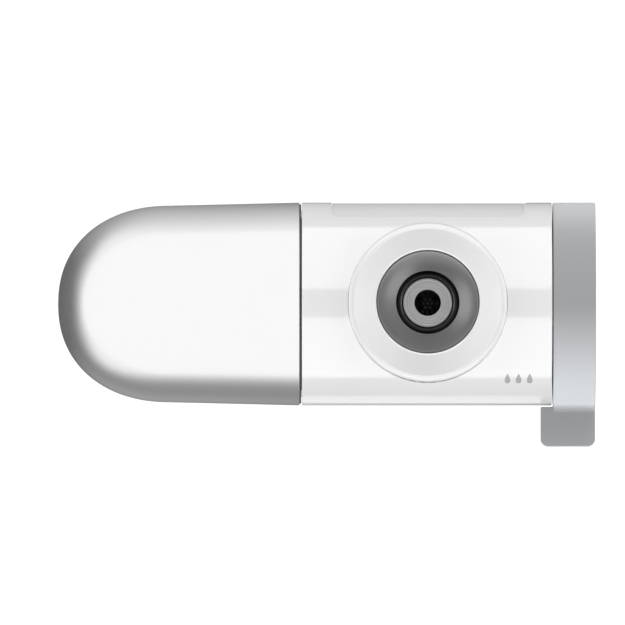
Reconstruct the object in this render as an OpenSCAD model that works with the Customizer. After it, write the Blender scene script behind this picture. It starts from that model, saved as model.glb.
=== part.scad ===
// Faucet water filter: a horizontal body that clamps under a faucet spout.
// x runs along the body towards the lever, y to the rear, z up.
// The origin is on the inlet axis, on the gasket face that the spout's end lands on.

/* [Body] */
// Outer radius of the body
body_r = 28.4; // [28:0.1:31]
// Length of the body shell
body_len = 70.25; // [69:0.25:80]
// From the inlet axis to the body's end at the cover
inlet_to_cover = 35.25; // [35:0.25:40]
// Wall of the body shell
body_wall = 2.2; // [1.8:0.1:2.6]
// End wall behind the lever
end_wall = 2.0; // [1.5:0.1:3]
// Chamfer on the body's end edges
body_edge = 0.3; // [0.1:0.1:0.6]

/* [Rear panel] */
// Length of the inset panel
panel_len = 53.4; // [40:0.2:58]
// Height of the inset panel, straight across
panel_h = 30; // [20:0.5:36]
// Thickness of the panel
panel_t = 0.6; // [0.6:0.1:1.1]
// Depth of the panel's face under the body's surface
panel_inset = 0.35; // [0.1:0.05:0.5]
// Corner radius of the panel
panel_corner_r = 2; // [1:0.5:5]
// Width of the pry notch at the panel's end
pry_w = 0.9; // [0.6:0.1:2]
// Height of the pry notch
pry_h = 8; // [4:0.5:14]

/* [Locking collar] */
// Outer radius of the collar
collar_r = 22; // [20.5:0.1:22.5]
// Height of the collar's shoulder above the body's crest
collar_rise = 0.8; // [0.6:0.1:2.5]
// Height of the cone above the shoulder
collar_cone_h = 7; // [5:0.1:9]
// Radius of the collar's mouth
collar_mouth_r = 14.5; // [13.5:0.1:15]
// Width of the shoulder outside the cone
shoulder_w = 1.4; // [0.9:0.1:1.8]
// Rounding of the shoulder's edge
shoulder_round = 0.9; // [0.3:0.05:0.9]
// Rounding of the cone's foot
foot_round = 0.4; // [0.3:0.05:0.6]
// Width of the rounded lip at the mouth
lip_round = 0.3; // [0.2:0.1:1]
// Depth of the clamping face under the collar's top
lip_depth = 7.6; // [7:0.1:9]
// Depth of the grip wall under the shoulder
grip_depth = 12; // [11:0.1:13.5]
// Number of grip flutes round the collar
flute_count = 48; // [24:2:60]
// Radius of one flute
flute_r = 0.8; // [0.4:0.1:1]
// Band above the flutes that stays plain
flute_top_band = 2; // [1.5:0.1:5]

/* [Inlet] */
// Radius of the socket for the spout
socket_r = 8.85; // [8:0.05:9.5]
// Length of the socket
socket_len = 8; // [6:0.25:9]
// Radius of the threaded tower under the collar
tower_r = 16.8; // [16.6:0.1:17.4]
// Thickness of the adapter's flange
flange_t = 2.5; // [2:0.1:3.5]
// Width of the flat rim round the funnel
funnel_rim = 0.5; // [0.3:0.1:1.2]
// Depth of the adapter's rim under the collar's top
adapter_inset = 0.3; // [0.1:0.1:0.8]
// Length of the adapter's foot under its flange
foot_len = 4.3; // [3.5:0.1:5.5]
// Radius of the adapter's foot
foot_r = 12.2; // [11.5:0.1:12.8]
// Thickness of the slip washer under the collar
washer_t = 0.9; // [0.6:0.1:1.2]
// Thickness of the inlet gasket
gasket_t = 3.5; // [2.5:0.1:4.5]
// Outer radius of the pale insert
insert_r = 6.85; // [6.2:0.05:7.4]
// Radius of the insert's water hole
insert_hole_r = 3.67; // [2.5:0.01:4]
// Radius of the insert's stem
insert_stem_r = 4.95; // [4.6:0.05:5.4]
// Height of the insert's face above the gasket
insert_proud = 0.2; // [0:0.1:1]
// Chamfer on the edges of the insert's face
insert_edge = 0.2; // [0.1:0.05:0.3]
// Fine grooves round the insert's face
insert_rings = 3; // [1:1:4]
// Depth of one groove
insert_ring_d = 0.1; // [0.05:0.01:0.15]
// Thickness of the strainer
strainer_t = 1; // [0.8:0.1:1.6]
// Radius of one strainer hole
strainer_hole_r = 0.5; // [0.3:0.05:0.6]

/* [Valve] */
// Radius of the valve spindle
spindle_r = 7; // [6.5:0.1:7.5]
// Wall of the valve liner
liner_wall = 1.95; // [1.5:0.05:2.2]
// Wall of the valve barrel
barrel_wall = 2.15; // [1.8:0.05:3]
// Length of the liner on the cover's side of the inlet
liner_back = 10; // [9.5:0.25:11]
// Length of the liner on the lever's side of the inlet
liner_front = 19; // [17:0.25:19.5]
// Radius of the spindle's stem
stem_r = 5.4; // [5.2:0.1:6]
// Width across the flats of the spindle's square end
drive_w = 7; // [6:0.1:7.2]
// Length of the spindle's square end
drive_len = 5; // [4:0.25:6]
// Distance of the two port planes from the inlet axis
port_offset = 3.7; // [3.4:0.1:4.2]
// Radius of the port to the cartridge
port_r = 2.4; // [1.8:0.1:2.6]
// Radius of the spindle's through port to the shower outlet
through_r = 2.6; // [2:0.1:2.8]
// Length of the raw-water chamber behind the liner
chamber_len = 4; // [3:0.25:5]
// Radius of the two raw-water ways beside the cartridge socket
raw_r = 2.2; // [1.6:0.1:2.4]
// Least wall round the ways in the chassis
way_wall = 1.2; // [1:0.1:1.5]
// Thickness of the chassis flange that closes the body
disc_t = 2.5; // [2:0.1:3.5]
// Cross-section radius of the spindle's seals
spindle_seal_r = 0.8; // [0.6:0.05:1]

/* [Lever] */
// Width of the lever's ring
lever_len = 11.8; // [10.5:0.1:16]
// Wall of the lever's ring
lever_wall = 2.4; // [1.8:0.1:3.5]
// Thickness of the lever's inner web
lever_web = 2; // [1.5:0.1:3]
// Radius of the lever's hub
hub_r = 8.5; // [7.5:0.1:12]
// Length of the tab along the body
tab_len = 15.3; // [13:0.1:20]
// Reach of the tab past the ring
tab_reach = 11.6; // [6:0.1:16]
// Thickness of the tab
tab_t = 5; // [3:0.1:7]
// Corner radius of the tab
tab_corner_r = 2.1; // [1:0.1:2.6]
// Fillet between the tab and the ring
tab_fillet = 1.6; // [0.8:0.1:3]
// Gap between the tab and the body
tab_gap = 0.45; // [0.3:0.05:1]
// Rounding of the ring's edges
lever_edge = 0.4; // [0.2:0.1:0.8]
// Thickness of the end cap
lever_cap_t = 1.7; // [1.2:0.1:2]
// Wall of the end cap's skirt
cap_skirt_w = 1.5; // [1:0.1:2.5]
// Depth of the end cap under the ring's edge
lever_cap_inset = 0.3; // [0.1:0.1:0.8]
// Radius of the lever screw's thread
lever_screw_r = 1.65; // [1.2:0.05:2]
// Radius of the lever screw's head
lever_head_r = 3.6; // [3:0.1:4.5]
// Height of the lever screw's head
lever_head_t = 2.2; // [1.5:0.1:2.4]
// Thread length of the lever screw
lever_screw_len = 9.5; // [7:0.25:12]

/* [Outlets] */
// Depth of the outlet housing under the body
housing_drop = 8.1; // [7:0.1:12]
// Radius of the outlet housing's round ends
housing_r = 12.5; // [11.8:0.1:14]
// Distance of the filtered outlet from the inlet axis
nozzle_x = 22.2; // [21:0.1:22.4]
// Radius of the filtered outlet's bore
nozzle_bore_r = 2.6; // [1.8:0.1:3]
// Outer radius of the filtered outlet
nozzle_r = 4.4; // [4:0.1:5]
// Depth of the filtered outlet under the housing
nozzle_drop = 4.5; // [2:0.1:8]
// Length of the filtered outlet inside the housing
nozzle_seat = 3.7; // [3:0.1:4.2]
// Thickness of the washer above the filtered outlet
nozzle_seal_t = 1.2; // [0.8:0.1:1.6]
// Radius of the shower plate
shower_r = 9.3; // [8.5:0.1:9.8]
// Thickness of the shower plate
shower_t = 1.5; // [1:0.1:2]
// Radius of one hole in the shower plate
shower_hole_r = 0.55; // [0.3:0.05:0.7]
// Rings of holes in the shower plate
shower_rings = 3; // [2:1:3]
// Height of the chamber above the shower plate
shower_chamber = 3; // [2:0.1:3.5]
// Thickness of the gasket on top of the outlet housing
outlet_seal_t = 1; // [0.6:0.1:1.5]
// Height of the outlets' joint above the body's inner wall
joint_rise = 1.7; // [1.2:0.1:2.5]
// Wall of the two outlet ways and the screw bosses
stub_wall = 2.4; // [1.8:0.1:2.6]
// Half distance between the housing screws
screw_y = 6.2; // [5.5:0.1:6.4]
// Depth of the screw heads under the housing's face
screw_sink = 0.7; // [0.3:0.1:1.5]
// Chamfer round the housing's lower edge
housing_edge = 1.2; // [0.5:0.1:2]
// Width of the ledge under the shower plate
ledge_w = 0.8; // [0.5:0.1:1.2]
// Half width of the slot in the body that the outlets pass
slot_half_w = 9.6; // [9.2:0.1:10.5]
// Radius of the housing screws
screw_r = 1.4; // [1.1:0.05:1.6]
// Radius of the housing screws' heads
screw_head_r = 2.5; // [2.2:0.1:2.8]
// Length of the housing screws under the head
screw_len = 15.5; // [14:0.5:17]

/* [Cover] */
// Length of the cover
cover_len = 67.7; // [64:0.1:80]
// Length of the cover's rounded nose
nose_len = 31.7; // [24:0.1:33]
// Radius of the cover where its nose begins
nose_r = 27.55; // [27.2:0.05:28]
// Fullness of the nose, 2 is an ellipse
nose_power = 2.2; // [2:0.05:2.6]
// Wall of the cover
cover_wall = 1.8; // [1.4:0.1:2]
// Width of the seam between the cover and the body
seam_w = 0.65; // [0.55:0.05:1.2]
// Depth of the seal's edge under the body's surface
seam_depth = 0.5; // [0.3:0.1:1]
// Distance of the thread outside the middle between the cartridge and the cover's wall
thread_offset = 0.125; // [0:0.025:0.4]
// Length of the threaded neck
neck_len = 11; // [8:0.25:14]
// Length of the threaded ring in the cover
liner_ring_len = 9; // [7:0.25:12]

/* [Cartridge] */
// Outer radius of the cartridge
cartridge_r = 20.8; // [18.5:0.1:21.2]
// Length of the cartridge
cartridge_len = 50; // [40:0.25:52]
// Wall of the cartridge case
case_wall = 1.2; // [1:0.1:1.5]
// Thickness of the cartridge's end disc
base_t = 3.2; // [2.5:0.1:4.5]
// Radius of the cartridge's stem
stem_out_r = 6.3; // [5.8:0.1:6.5]
// Length of the cartridge's stem
stem_len = 12; // [10:0.25:13]
// Cross-section radius of the stem's seals
stem_seal_r = 0.75; // [0.6:0.05:0.9]
// Thickness of the fleece
fleece_t = 1.2; // [0.8:0.1:2]
// Outer radius of the core tube
core_r = 5; // [4.6:0.1:6]
// Wall of the core tube
core_wall = 1.3; // [1:0.1:1.5]
// Slots round the cartridge case
case_slots = 12; // [8:1:16]
// Rows of slots along the cartridge case
case_rows = 3; // [2:1:4]
// Height of the pull fin at the cartridge's end
fin_len = 6; // [4:0.25:7]
// Thickness of the pull fin
fin_t = 2; // [1.4:0.1:3]

/* [Fits] */
// Gap between pieces that move past each other
seat_gap = 0.3; // [0.25:0.05:0.4]
// Gap between faces that press on each other across a moving joint
face_gap = 0.1; // [0.05:0.05:0.15]
// Gap between fixed pieces
fixed_gap = 0.05; // [0.03:0.01:0.1]
// Gap between the collar and the body's opening
opening_gap = 0.3; // [0.25:0.05:0.7]
// Running gap of the spindle
running_gap = 0.04; // [0.02:0.01:0.08]
// Gap between the threaded ring and the cover's wall
ring_gap = 0.1; // [0.05:0.01:0.3]
// Water gap between the cartridge and the threaded neck
cartridge_gap = 1; // [0.6:0.1:2]
// Gap round a part that only has to pass through
pass_gap = 0.4; // [0.3:0.05:0.6]
// Gap round the rear panel
panel_gap = 0.1; // [0.1:0.05:0.3]

/* [Hidden] */
$fn = 96;

// Cuts run past the solid by this much
past = 1;

// Ends of the body and its bore
body_x0 = -inlet_to_cover;
body_x1 = body_x0 + body_len;
bore_r = body_r - body_wall;

// Heights above the body's axis, from the collar's top down to the strainer
shoulder_h = body_r + collar_rise;
collar_top = shoulder_h + collar_cone_h;
lip_h = collar_top - lip_depth;
grip_h = shoulder_h - grip_depth;
washer_h1 = lip_h - face_gap;
washer_h0 = washer_h1 - washer_t;
flange_h1 = washer_h0 - face_gap;
flange_h0 = flange_h1 - flange_t;
tower_h = flange_h0 - seat_gap;
gasket_h1 = flange_h0 - foot_len;
cup_floor = gasket_h1 - gasket_t;
socket_top = gasket_h1 + socket_len;
adapter_top = collar_top - adapter_inset;

// Radii round the inlet
thread_r = tower_r + seat_gap;
neck_out_r = collar_mouth_r - seat_gap;
flange_r = tower_r - fixed_gap;
opening_r = collar_r + opening_gap;
cup_r = foot_r + fixed_gap;
channel_r = insert_stem_r + fixed_gap;

// Ends of the lever's ring
lever_x0 = body_x1 + seat_gap;
lever_x1 = lever_x0 + lever_len;
lever_in_r = body_r - lever_wall;

// Valve, along the body's axis
liner_in = spindle_r + running_gap;
liner_out = liner_in + liner_wall;
valve_bore_r = liner_out + fixed_gap;
barrel_r = valve_bore_r + barrel_wall;
chamber_x0 = -liner_back - chamber_len;
barrel_x1 = body_x1 - end_wall - seat_gap;
gland_x0 = liner_front + seat_gap;
spindle_x0 = -liner_back + seat_gap;
spindle_x1 = liner_front;
stem_x1 = lever_x0 + seat_gap;
drive_x1 = stem_x1 + drive_len;
web_x0 = drive_x1 + fixed_gap;
web_x1 = web_x0 + lever_web;
spindle_seal_x = [-port_offset - port_r - 2 * spindle_seal_r, port_offset + through_r + 3 * spindle_seal_r];
strainer_h0 = valve_bore_r + strainer_t;
strainer_h1 = strainer_h0 + strainer_t;

// Cartridge socket and the ways for raw water beside it
socket_in_r = stem_out_r + seat_gap;
socket_x1 = body_x0 + stem_len + way_wall;
raw_y = socket_in_r + raw_r + way_wall;
raw_boss_r = raw_y + raw_r + way_wall;

// Outlets, under the body
stub_h = -(bore_r - joint_rise);
pad_h = stub_h - outlet_seal_t;
housing_h = -(body_r + housing_drop);
shower_x = port_offset;
pad_r = slot_half_w - 2 * seat_gap;
shower_way_r = through_r + pass_gap;
screw_x = (shower_x - nozzle_x) / 2;
screw_head_t = screw_head_r * 0.8;
screw_seat = housing_h + screw_sink + screw_head_t;
nozzle_h1 = housing_h + nozzle_seat;
nozzle_h0 = housing_h - nozzle_drop;
nozzle_floor = nozzle_h1 + nozzle_seal_t;
shower_floor = housing_h + shower_t + shower_chamber;

// Cover and the thread inside it
cover_x0 = body_x0 - seam_w;
cover_x1 = cover_x0 - cover_len;
cover_in_r = body_r - cover_wall;
cover_taper = (body_r - nose_r) / (cover_len - nose_len);
ring_x1 = cover_x0 - liner_ring_len;
ring_r = cover_in_r - ring_gap;
ring_r1 = ring_r - cover_taper * liner_ring_len;
neck_bore_r = cartridge_r + cartridge_gap;
neck_r = (neck_bore_r + min(ring_r, ring_r1)) / 2 + thread_offset;

// Cartridge
cartridge_x0 = body_x0 - seat_gap;
base_x1 = cartridge_x0 - base_t;
cartridge_x1 = cartridge_x0 - cartridge_len;
block_x0 = base_x1 - fixed_gap;
block_x1 = cartridge_x1 + case_wall + fixed_gap;
case_in_r = cartridge_r - case_wall;
fleece_r = case_in_r - fixed_gap;
block_r = fleece_r - fleece_t - fixed_gap;
block_in_r = core_r + fixed_gap;

// Points of an arc, from one angle to another
function arc(cx, cy, r, from, to, steps = 8) =
    [for (i = [0 : steps]) let (a = from + (to - from) * i / steps) [cx + r * cos(a), cy + r * sin(a)]];

// Outline of the cover's nose, drawn in from the outside by a wall
function nose(wall, steps = 28) =
    [for (i = [0 : steps])
        let (a = 90 * i / steps)
        [(nose_r - wall) * pow(cos(a), 2 / nose_power),
         cover_x1 + nose_len - (nose_len - wall) * pow(sin(a), 2 / nose_power)]];

// Frame with the body's axis at height 0
module on_axis() {
    translate([0, 0, -gasket_h1]) children();
}

// Solid of revolution about the body's axis, from points of radius and x
module spin_x(points) {
    rotate([0, 90, 0]) rotate_extrude() polygon(points);
}

// Rod along the body's axis
module rod_x(x0, x1, r) {
    translate([x0, 0, 0]) rotate([0, 90, 0]) cylinder(r = r, h = x1 - x0);
}

// Tube along the body's axis
module tube_x(x0, x1, r_out, r_in) {
    spin_x([[r_in, x0], [r_out, x0], [r_out, x1], [r_in, x1]]);
}

// Upright rod
module rod_z(x, y, h0, h1, r) {
    translate([x, y, h0]) cylinder(r = r, h = h1 - h0);
}

// Upright tube
module tube_z(x, h0, h1, r_out, r_in) {
    difference() {
        rod_z(x, 0, h0, h1, r_out);
        rod_z(x, 0, h0 - past, h1 + past, r_in);
    }
}

// Ring seal round the body's axis
module seal_x(x, r_mid, r) {
    translate([x, 0, 0]) rotate([0, 90, 0]) rotate_extrude() translate([r_mid, 0]) circle(r = r, $fn = 32);
}

// Flat outline with round ends, from the nozzle to the shower outlet
module oblong(r) {
    translate([-nozzle_x, 0]) circle(r = r);
    translate([shower_x, 0]) circle(r = r);
    translate([-nozzle_x, -r]) square([nozzle_x + shower_x, 2 * r]);
}

// Upright block with round ends
module oblong_block(h0, h1, r) {
    translate([0, 0, h0]) linear_extrude(h1 - h0) oblong(r);
}

// Rectangle with round corners, centred
module rounded_rect(w, h, r) {
    square([w - 2 * r, h], center = true);
    square([w, h - 2 * r], center = true);
    for (sx = [-1, 1], sy = [-1, 1]) {
        translate([sx * (w / 2 - r), sy * (h / 2 - r)]) circle(r = r, $fn = 32);
    }
}

// Block at the rear that limits the panel or its pocket
module panel_limit(grow) {
    rotate([90, 0, 0]) mirror([0, 0, 1]) linear_extrude(body_r + past)
        rounded_rect(panel_len + 2 * grow, panel_h + 2 * grow, panel_corner_r + grow);
}

// Two places for the housing screws
module at_screws() {
    for (side = [-1, 1]) {
        translate([screw_x, side * screw_y, 0]) children();
    }
}

// White tube with the collar's opening, the outlet slot and the panel's pocket
module body_shell() {
    wall_in_r = body_r - panel_inset - panel_t - panel_gap;
    color("white") on_axis() difference() {
        spin_x([
            [bore_r, body_x0], [body_r - body_edge, body_x0], [body_r, body_x0 + body_edge],
            [body_r, body_x1 - body_edge], [body_r - body_edge, body_x1],
            [valve_bore_r + seat_gap, body_x1], [valve_bore_r + seat_gap, body_x1 - end_wall],
            [bore_r, body_x1 - end_wall]
        ]);
        rod_z(0, 0, 0, shoulder_h + past, opening_r);
        oblong_block(housing_h, 0, slot_half_w);
        intersection() {
            tube_x(body_x0, body_x1, body_r + past, wall_in_r);
            union() {
                panel_limit(panel_gap);
                translate([panel_len / 2, 0, -pry_h / 2]) cube([pry_w + panel_gap, body_r + past, pry_h]);
            }
        }
    }
}

// Inset plate at the rear
module rear_panel() {
    color("whitesmoke") on_axis() intersection() {
        tube_x(body_x0, body_x1, body_r - panel_inset, body_r - panel_inset - panel_t);
        panel_limit(0);
    }
}

// Inner chassis: inlet tower, valve barrel, cartridge socket and the ways down to both outlets
module water_manifold() {
    color("gainsboro") on_axis() difference() {
        union() {
            rod_z(0, 0, 0, tower_h, tower_r);
            rod_x(chamber_x0, barrel_x1, barrel_r);
            rod_x(body_x0, -liner_back, raw_boss_r);
            rod_x(body_x0, body_x0 + disc_t, bore_r - fixed_gap);
            tube_x(body_x0 - neck_len, body_x0 + fixed_gap, neck_r, neck_bore_r);
            rod_z(-nozzle_x, 0, stub_h, 0, nozzle_bore_r + stub_wall);
            rod_z(shower_x, 0, stub_h, 0, shower_way_r + stub_wall);
            at_screws() rod_z(0, 0, stub_h, 0, screw_r + stub_wall);
        }
        rod_z(0, 0, cup_floor, tower_h + past, cup_r);
        rod_z(0, 0, strainer_h0, cup_floor + past, channel_r);
        rod_z(0, 0, 0, strainer_h0 + past, channel_r - ledge_w);
        rod_x(chamber_x0, barrel_x1 + past, valve_bore_r);
        rod_x(body_x0 - past, socket_x1, socket_in_r);
        for (side = [-1, 1]) {
            translate([0, side * raw_y, 0]) rod_x(body_x0 - past, chamber_x0 + chamber_len / 2, raw_r);
        }
        rod_z(-nozzle_x, 0, stub_h - past, 0, nozzle_bore_r);
        rod_z(shower_x, 0, stub_h - past, 0, shower_way_r);
        at_screws() rod_z(0, 0, stub_h - past, screw_seat + screw_len + pass_gap, screw_r + fixed_gap);
    }
}

// Black washer that the spout's end seals on
module inlet_gasket() {
    color("#1c1c1c") on_axis() tube_z(0, cup_floor, gasket_h1, foot_r, insert_r + fixed_gap);
}

// Pale bush in the gasket, with the water hole and fine rings on its face
module inlet_insert() {
    face_h = gasket_h1 + insert_proud;
    ring_step = (insert_r - insert_hole_r) / (insert_rings + 1);
    color("darkgray") on_axis() rotate_extrude() polygon(concat(
        [
            [insert_hole_r, strainer_h1 + fixed_gap], [insert_stem_r, strainer_h1 + fixed_gap],
            [insert_stem_r, cup_floor], [insert_r, cup_floor],
            [insert_r, face_h - insert_edge], [insert_r - insert_edge, face_h]
        ],
        [for (i = [1 : insert_rings], side = [1, 0, -1])
            [insert_r - i * ring_step + side * insert_ring_d, face_h - (side == 0 ? insert_ring_d : 0)]],
        [[insert_hole_r + insert_edge, face_h], [insert_hole_r, face_h - insert_edge]]
    ));
}

// Disc of small holes under the insert
module inlet_strainer() {
    pitch = strainer_hole_r * 2.6;
    color("silver") on_axis() difference() {
        rod_z(0, 0, strainer_h0, strainer_h1, insert_stem_r);
        for (ring = [0 : 2], i = [0 : max(0, ring * 6 - 1)]) {
            a = ring == 0 ? 0 : 360 * i / (ring * 6);
            rod_z(ring * pitch * cos(a), ring * pitch * sin(a), strainer_h0 - past, strainer_h1 + past, strainer_hole_r);
        }
    }
}

// Dark funnel with the round socket for the spout
module adapter_ring() {
    mouth_r = neck_out_r - funnel_rim;
    color("#4a4a4a") on_axis() rotate_extrude() polygon(concat(
        [
            [socket_r, gasket_h1], [foot_r, gasket_h1], [foot_r, flange_h0], [flange_r, flange_h0],
            [flange_r, flange_h1], [neck_out_r, flange_h1], [neck_out_r, adapter_top]
        ],
        // the funnel's wall bows from the rim down to the socket
        [for (i = [0 : 10])
            let (t = i / 10)
            [mouth_r + (socket_r - mouth_r) * t, adapter_top + (socket_top - adapter_top) * pow(t, 1.5)]]
    ));
}

// Thin washer that lets the collar turn on the adapter
module slip_washer() {
    color("ivory") on_axis() tube_z(0, washer_h0, washer_h1, flange_r, neck_out_r + seat_gap);
}

// White collar: fluted grip wall, rounded shoulder and a cone up to the mouth
module locking_collar() {
    foot_x = collar_r - shoulder_w;
    lip_x = collar_mouth_r + lip_round;
    color("white") on_axis() difference() {
        rotate_extrude() polygon(concat(
            [[thread_r, grip_h], [collar_r, grip_h]],
            arc(collar_r - shoulder_round, shoulder_h - shoulder_round, shoulder_round, 0, 90),
            arc(foot_x, shoulder_h + foot_round, foot_round, 270, 222, 4),
            arc(lip_x, collar_top - lip_round, lip_round, 45, 180),
            [[collar_mouth_r, lip_h], [thread_r, lip_h]]
        ));
        for (i = [0 : flute_count - 1]) {
            rotate(360 * i / flute_count)
                rod_z(collar_r + flute_r / 2, 0, grip_h - past, shoulder_h - flute_top_band, flute_r);
        }
    }
}

// Sleeve that the spindle turns in, open to the inlet above and the shower outlet below
module valve_liner() {
    color("lightsteelblue") on_axis() difference() {
        tube_x(-liner_back, liner_front, liner_out, liner_in);
        for (x = [-port_offset, port_offset]) {
            rod_z(x, 0, 0, liner_out + past, port_r);
        }
        rod_z(shower_x, 0, -liner_out - past, 0, through_r);
    }
}

// Bush that holds the spindle in the barrel
module valve_gland() {
    color("tan") on_axis() tube_x(gland_x0, barrel_x1, liner_out, stem_r + running_gap);
}

// Rotary valve plug with its two ports and the square end for the lever
module valve_spindle() {
    groove_r = spindle_r - 2 * spindle_seal_r;
    color("goldenrod") on_axis() difference() {
        union() {
            rod_x(spindle_x0, spindle_x1, spindle_r);
            rod_x(spindle_x1 - fixed_gap, stem_x1, stem_r);
            translate([stem_x1 - fixed_gap, -drive_w / 2, -drive_w / 2])
                cube([drive_len + fixed_gap, drive_w, drive_w]);
        }
        rod_x(spindle_x0 - past, -port_offset + port_r, port_r + pass_gap);
        rod_z(-port_offset, 0, 0, spindle_r + past, port_r);
        translate([shower_x, 0, 0]) rotate([90, 0, 0])
            cylinder(r = through_r, h = 2 * spindle_r + 2 * past, center = true);
        for (x = spindle_seal_x) {
            tube_x(x - spindle_seal_r, x + spindle_seal_r, spindle_r + past, groove_r);
        }
        rod_x(web_x1 - lever_screw_len - past, drive_x1 + past, lever_screw_r + fixed_gap);
    }
}

// Seals in the spindle's grooves
module spindle_o_rings() {
    color("#222222") on_axis() {
        for (x = spindle_seal_x) {
            seal_x(x, spindle_r - spindle_seal_r, spindle_seal_r - fixed_gap);
        }
    }
}

// Lever ring with its web, hub and flat tab
module selector_lever() {
    fillet_h = tab_t / 2 + tab_fillet;
    fillet_y = sqrt(pow(body_r + tab_fillet, 2) - pow(fillet_h, 2));
    tab_y = body_r + tab_reach;
    color("silver") on_axis() difference() {
        union() {
            spin_x(concat(
                [[lever_in_r, lever_x0], [body_r - lever_edge, lever_x0], [body_r, lever_x0 + lever_edge]],
                [for (p = arc(body_r - lever_edge, lever_x1 - lever_edge, lever_edge, 0, 90)) p],
                [[lever_in_r, lever_x1]]
            ));
            rod_x(web_x0, web_x1, lever_in_r + fixed_gap);
            rod_x(stem_x1 + seat_gap, web_x1, hub_r);
            translate([0, 0, -tab_t / 2]) linear_extrude(tab_t) tab_outline(tab_y);
            for (side = [-1, 1]) {
                translate([lever_x0 + lever_edge, 0, 0]) rotate([90, 0, 90])
                    linear_extrude(lever_len - 2 * lever_edge) tab_fillet_outline(side, fillet_y, fillet_h);
            }
        }
        translate([stem_x1, -drive_w / 2 - fixed_gap, -drive_w / 2 - fixed_gap])
            cube([web_x0 - stem_x1, drive_w + 2 * fixed_gap, drive_w + 2 * fixed_gap]);
        rod_x(web_x0 - past, web_x1 + past, lever_screw_r + 2 * fixed_gap);
    }
}

// Tab seen from above: a strip past the ring, with two round corners at its free edge
module tab_outline(tab_y) {
    x0 = lever_x1 - tab_len;
    root_y = body_r + tab_gap;
    translate([x0, -(tab_y - tab_corner_r)]) square([tab_len, tab_y - tab_corner_r - root_y]);
    translate([x0 + tab_corner_r, -tab_y]) square([tab_len - 2 * tab_corner_r, tab_corner_r + fixed_gap]);
    for (x = [x0 + tab_corner_r, lever_x1 - tab_corner_r]) {
        translate([x, -(tab_y - tab_corner_r)]) circle(r = tab_corner_r, $fn = 48);
    }
    // the root runs into the ring's wall
    translate([lever_x0, -(root_y + fixed_gap)]) square([lever_len - lever_edge, lever_wall / 2 + tab_gap]);
}

// Fillet between the ring and one face of the tab, with its roots sunk in both
module tab_fillet_outline(side, fillet_y, fillet_h) {
    root_r = body_r - lever_wall / 2;
    root_h = tab_t / 2 - tab_fillet / 2;
    inward = root_r / (body_r + tab_fillet);
    difference() {
        polygon([
            [-fillet_y, side * root_h], [-fillet_y, side * fillet_h],
            [-fillet_y * inward, side * fillet_h * inward], [-root_r, side * root_h]
        ]);
        translate([-fillet_y, side * fillet_h]) circle(r = tab_fillet + fixed_gap / 2, $fn = 48);
    }
}

// Screw that holds the lever on the spindle
module lever_screw() {
    color("gray") on_axis() difference() {
        union() {
            rod_x(web_x1 - lever_screw_len, web_x1 + fixed_gap, lever_screw_r);
            rod_x(web_x1, web_x1 + lever_head_t, lever_head_r);
        }
        for (turn = [0, 90]) {
            rotate([turn, 0, 0]) translate([web_x1 + lever_head_t / 2, -lever_head_r * 0.6, -lever_screw_r * 0.3])
                cube([lever_head_t, lever_head_r * 1.2, lever_screw_r * 0.6]);
        }
    }
}

// Disc that closes the lever's ring, on a short skirt
module lever_cap() {
    cap_r = lever_in_r - face_gap;
    cap_x1 = lever_x1 - lever_cap_inset;
    color("silver") on_axis() union() {
        rod_x(cap_x1 - lever_cap_t, cap_x1, cap_r);
        tube_x(web_x1, cap_x1 - lever_cap_t + fixed_gap, cap_r, cap_r - cap_skirt_w);
    }
}

// Upright block with round ends and a chamfer round its lower face
module oblong_skirt(h0, h1, r, edge) {
    for (x = [-nozzle_x, shower_x]) {
        translate([x, 0, 0]) rotate_extrude()
            polygon([[0, h0], [r - edge, h0], [r, h0 + edge], [r, h1], [0, h1]]);
    }
    translate([-nozzle_x, 0, 0]) rotate([90, 0, 90]) linear_extrude(nozzle_x + shower_x)
        polygon([[edge - r, h0], [r - edge, h0], [r, h0 + edge], [r, h1], [-r, h1], [-r, h0 + edge]]);
}

// Skirt under the body with the seats of both outlets
module outlet_housing() {
    color("white") on_axis() difference() {
        union() {
            difference() {
                oblong_skirt(housing_h, -bore_r / 2, housing_r, housing_edge);
                rod_x(body_x0 - past, body_x1 + past, body_r + fixed_gap);
            }
            oblong_block(housing_h + housing_edge, pad_h, pad_r);
        }
        rod_z(shower_x, 0, housing_h - past, housing_h + shower_t, shower_r + fixed_gap);
        rod_z(shower_x, 0, housing_h, shower_floor, shower_r - ledge_w);
        rod_z(shower_x, 0, housing_h, pad_h + past, shower_way_r);
        rod_z(-nozzle_x, 0, housing_h - past, nozzle_floor, nozzle_r + fixed_gap);
        rod_z(-nozzle_x, 0, housing_h, pad_h + past, nozzle_bore_r);
        at_screws() rod_z(0, 0, housing_h - past, screw_seat, screw_head_r + seat_gap);
        at_screws() rod_z(0, 0, housing_h, pad_h + past, screw_r + seat_gap);
    }
}

// Gasket between the outlet housing and the chassis
module outlet_seal() {
    color("#2a2a2a") on_axis() difference() {
        oblong_block(pad_h, stub_h, pad_r);
        rod_z(shower_x, 0, pad_h - past, stub_h + past, shower_way_r);
        rod_z(-nozzle_x, 0, pad_h - past, stub_h + past, nozzle_bore_r);
        at_screws() rod_z(0, 0, pad_h - past, stub_h + past, screw_r + seat_gap);
    }
}

// Plate with rings of holes
module shower_plate() {
    ring_step = shower_r / (shower_rings + 0.9);
    color("silver") on_axis() difference() {
        rod_z(shower_x, 0, housing_h, housing_h + shower_t, shower_r);
        for (ring = [1 : shower_rings], i = [0 : ring * 7 - 1]) {
            a = 360 * i / (ring * 7);
            rod_z(shower_x + ring * ring_step * cos(a), ring * ring_step * sin(a),
                housing_h - past, housing_h + shower_t + past, shower_hole_r);
        }
    }
}

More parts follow.
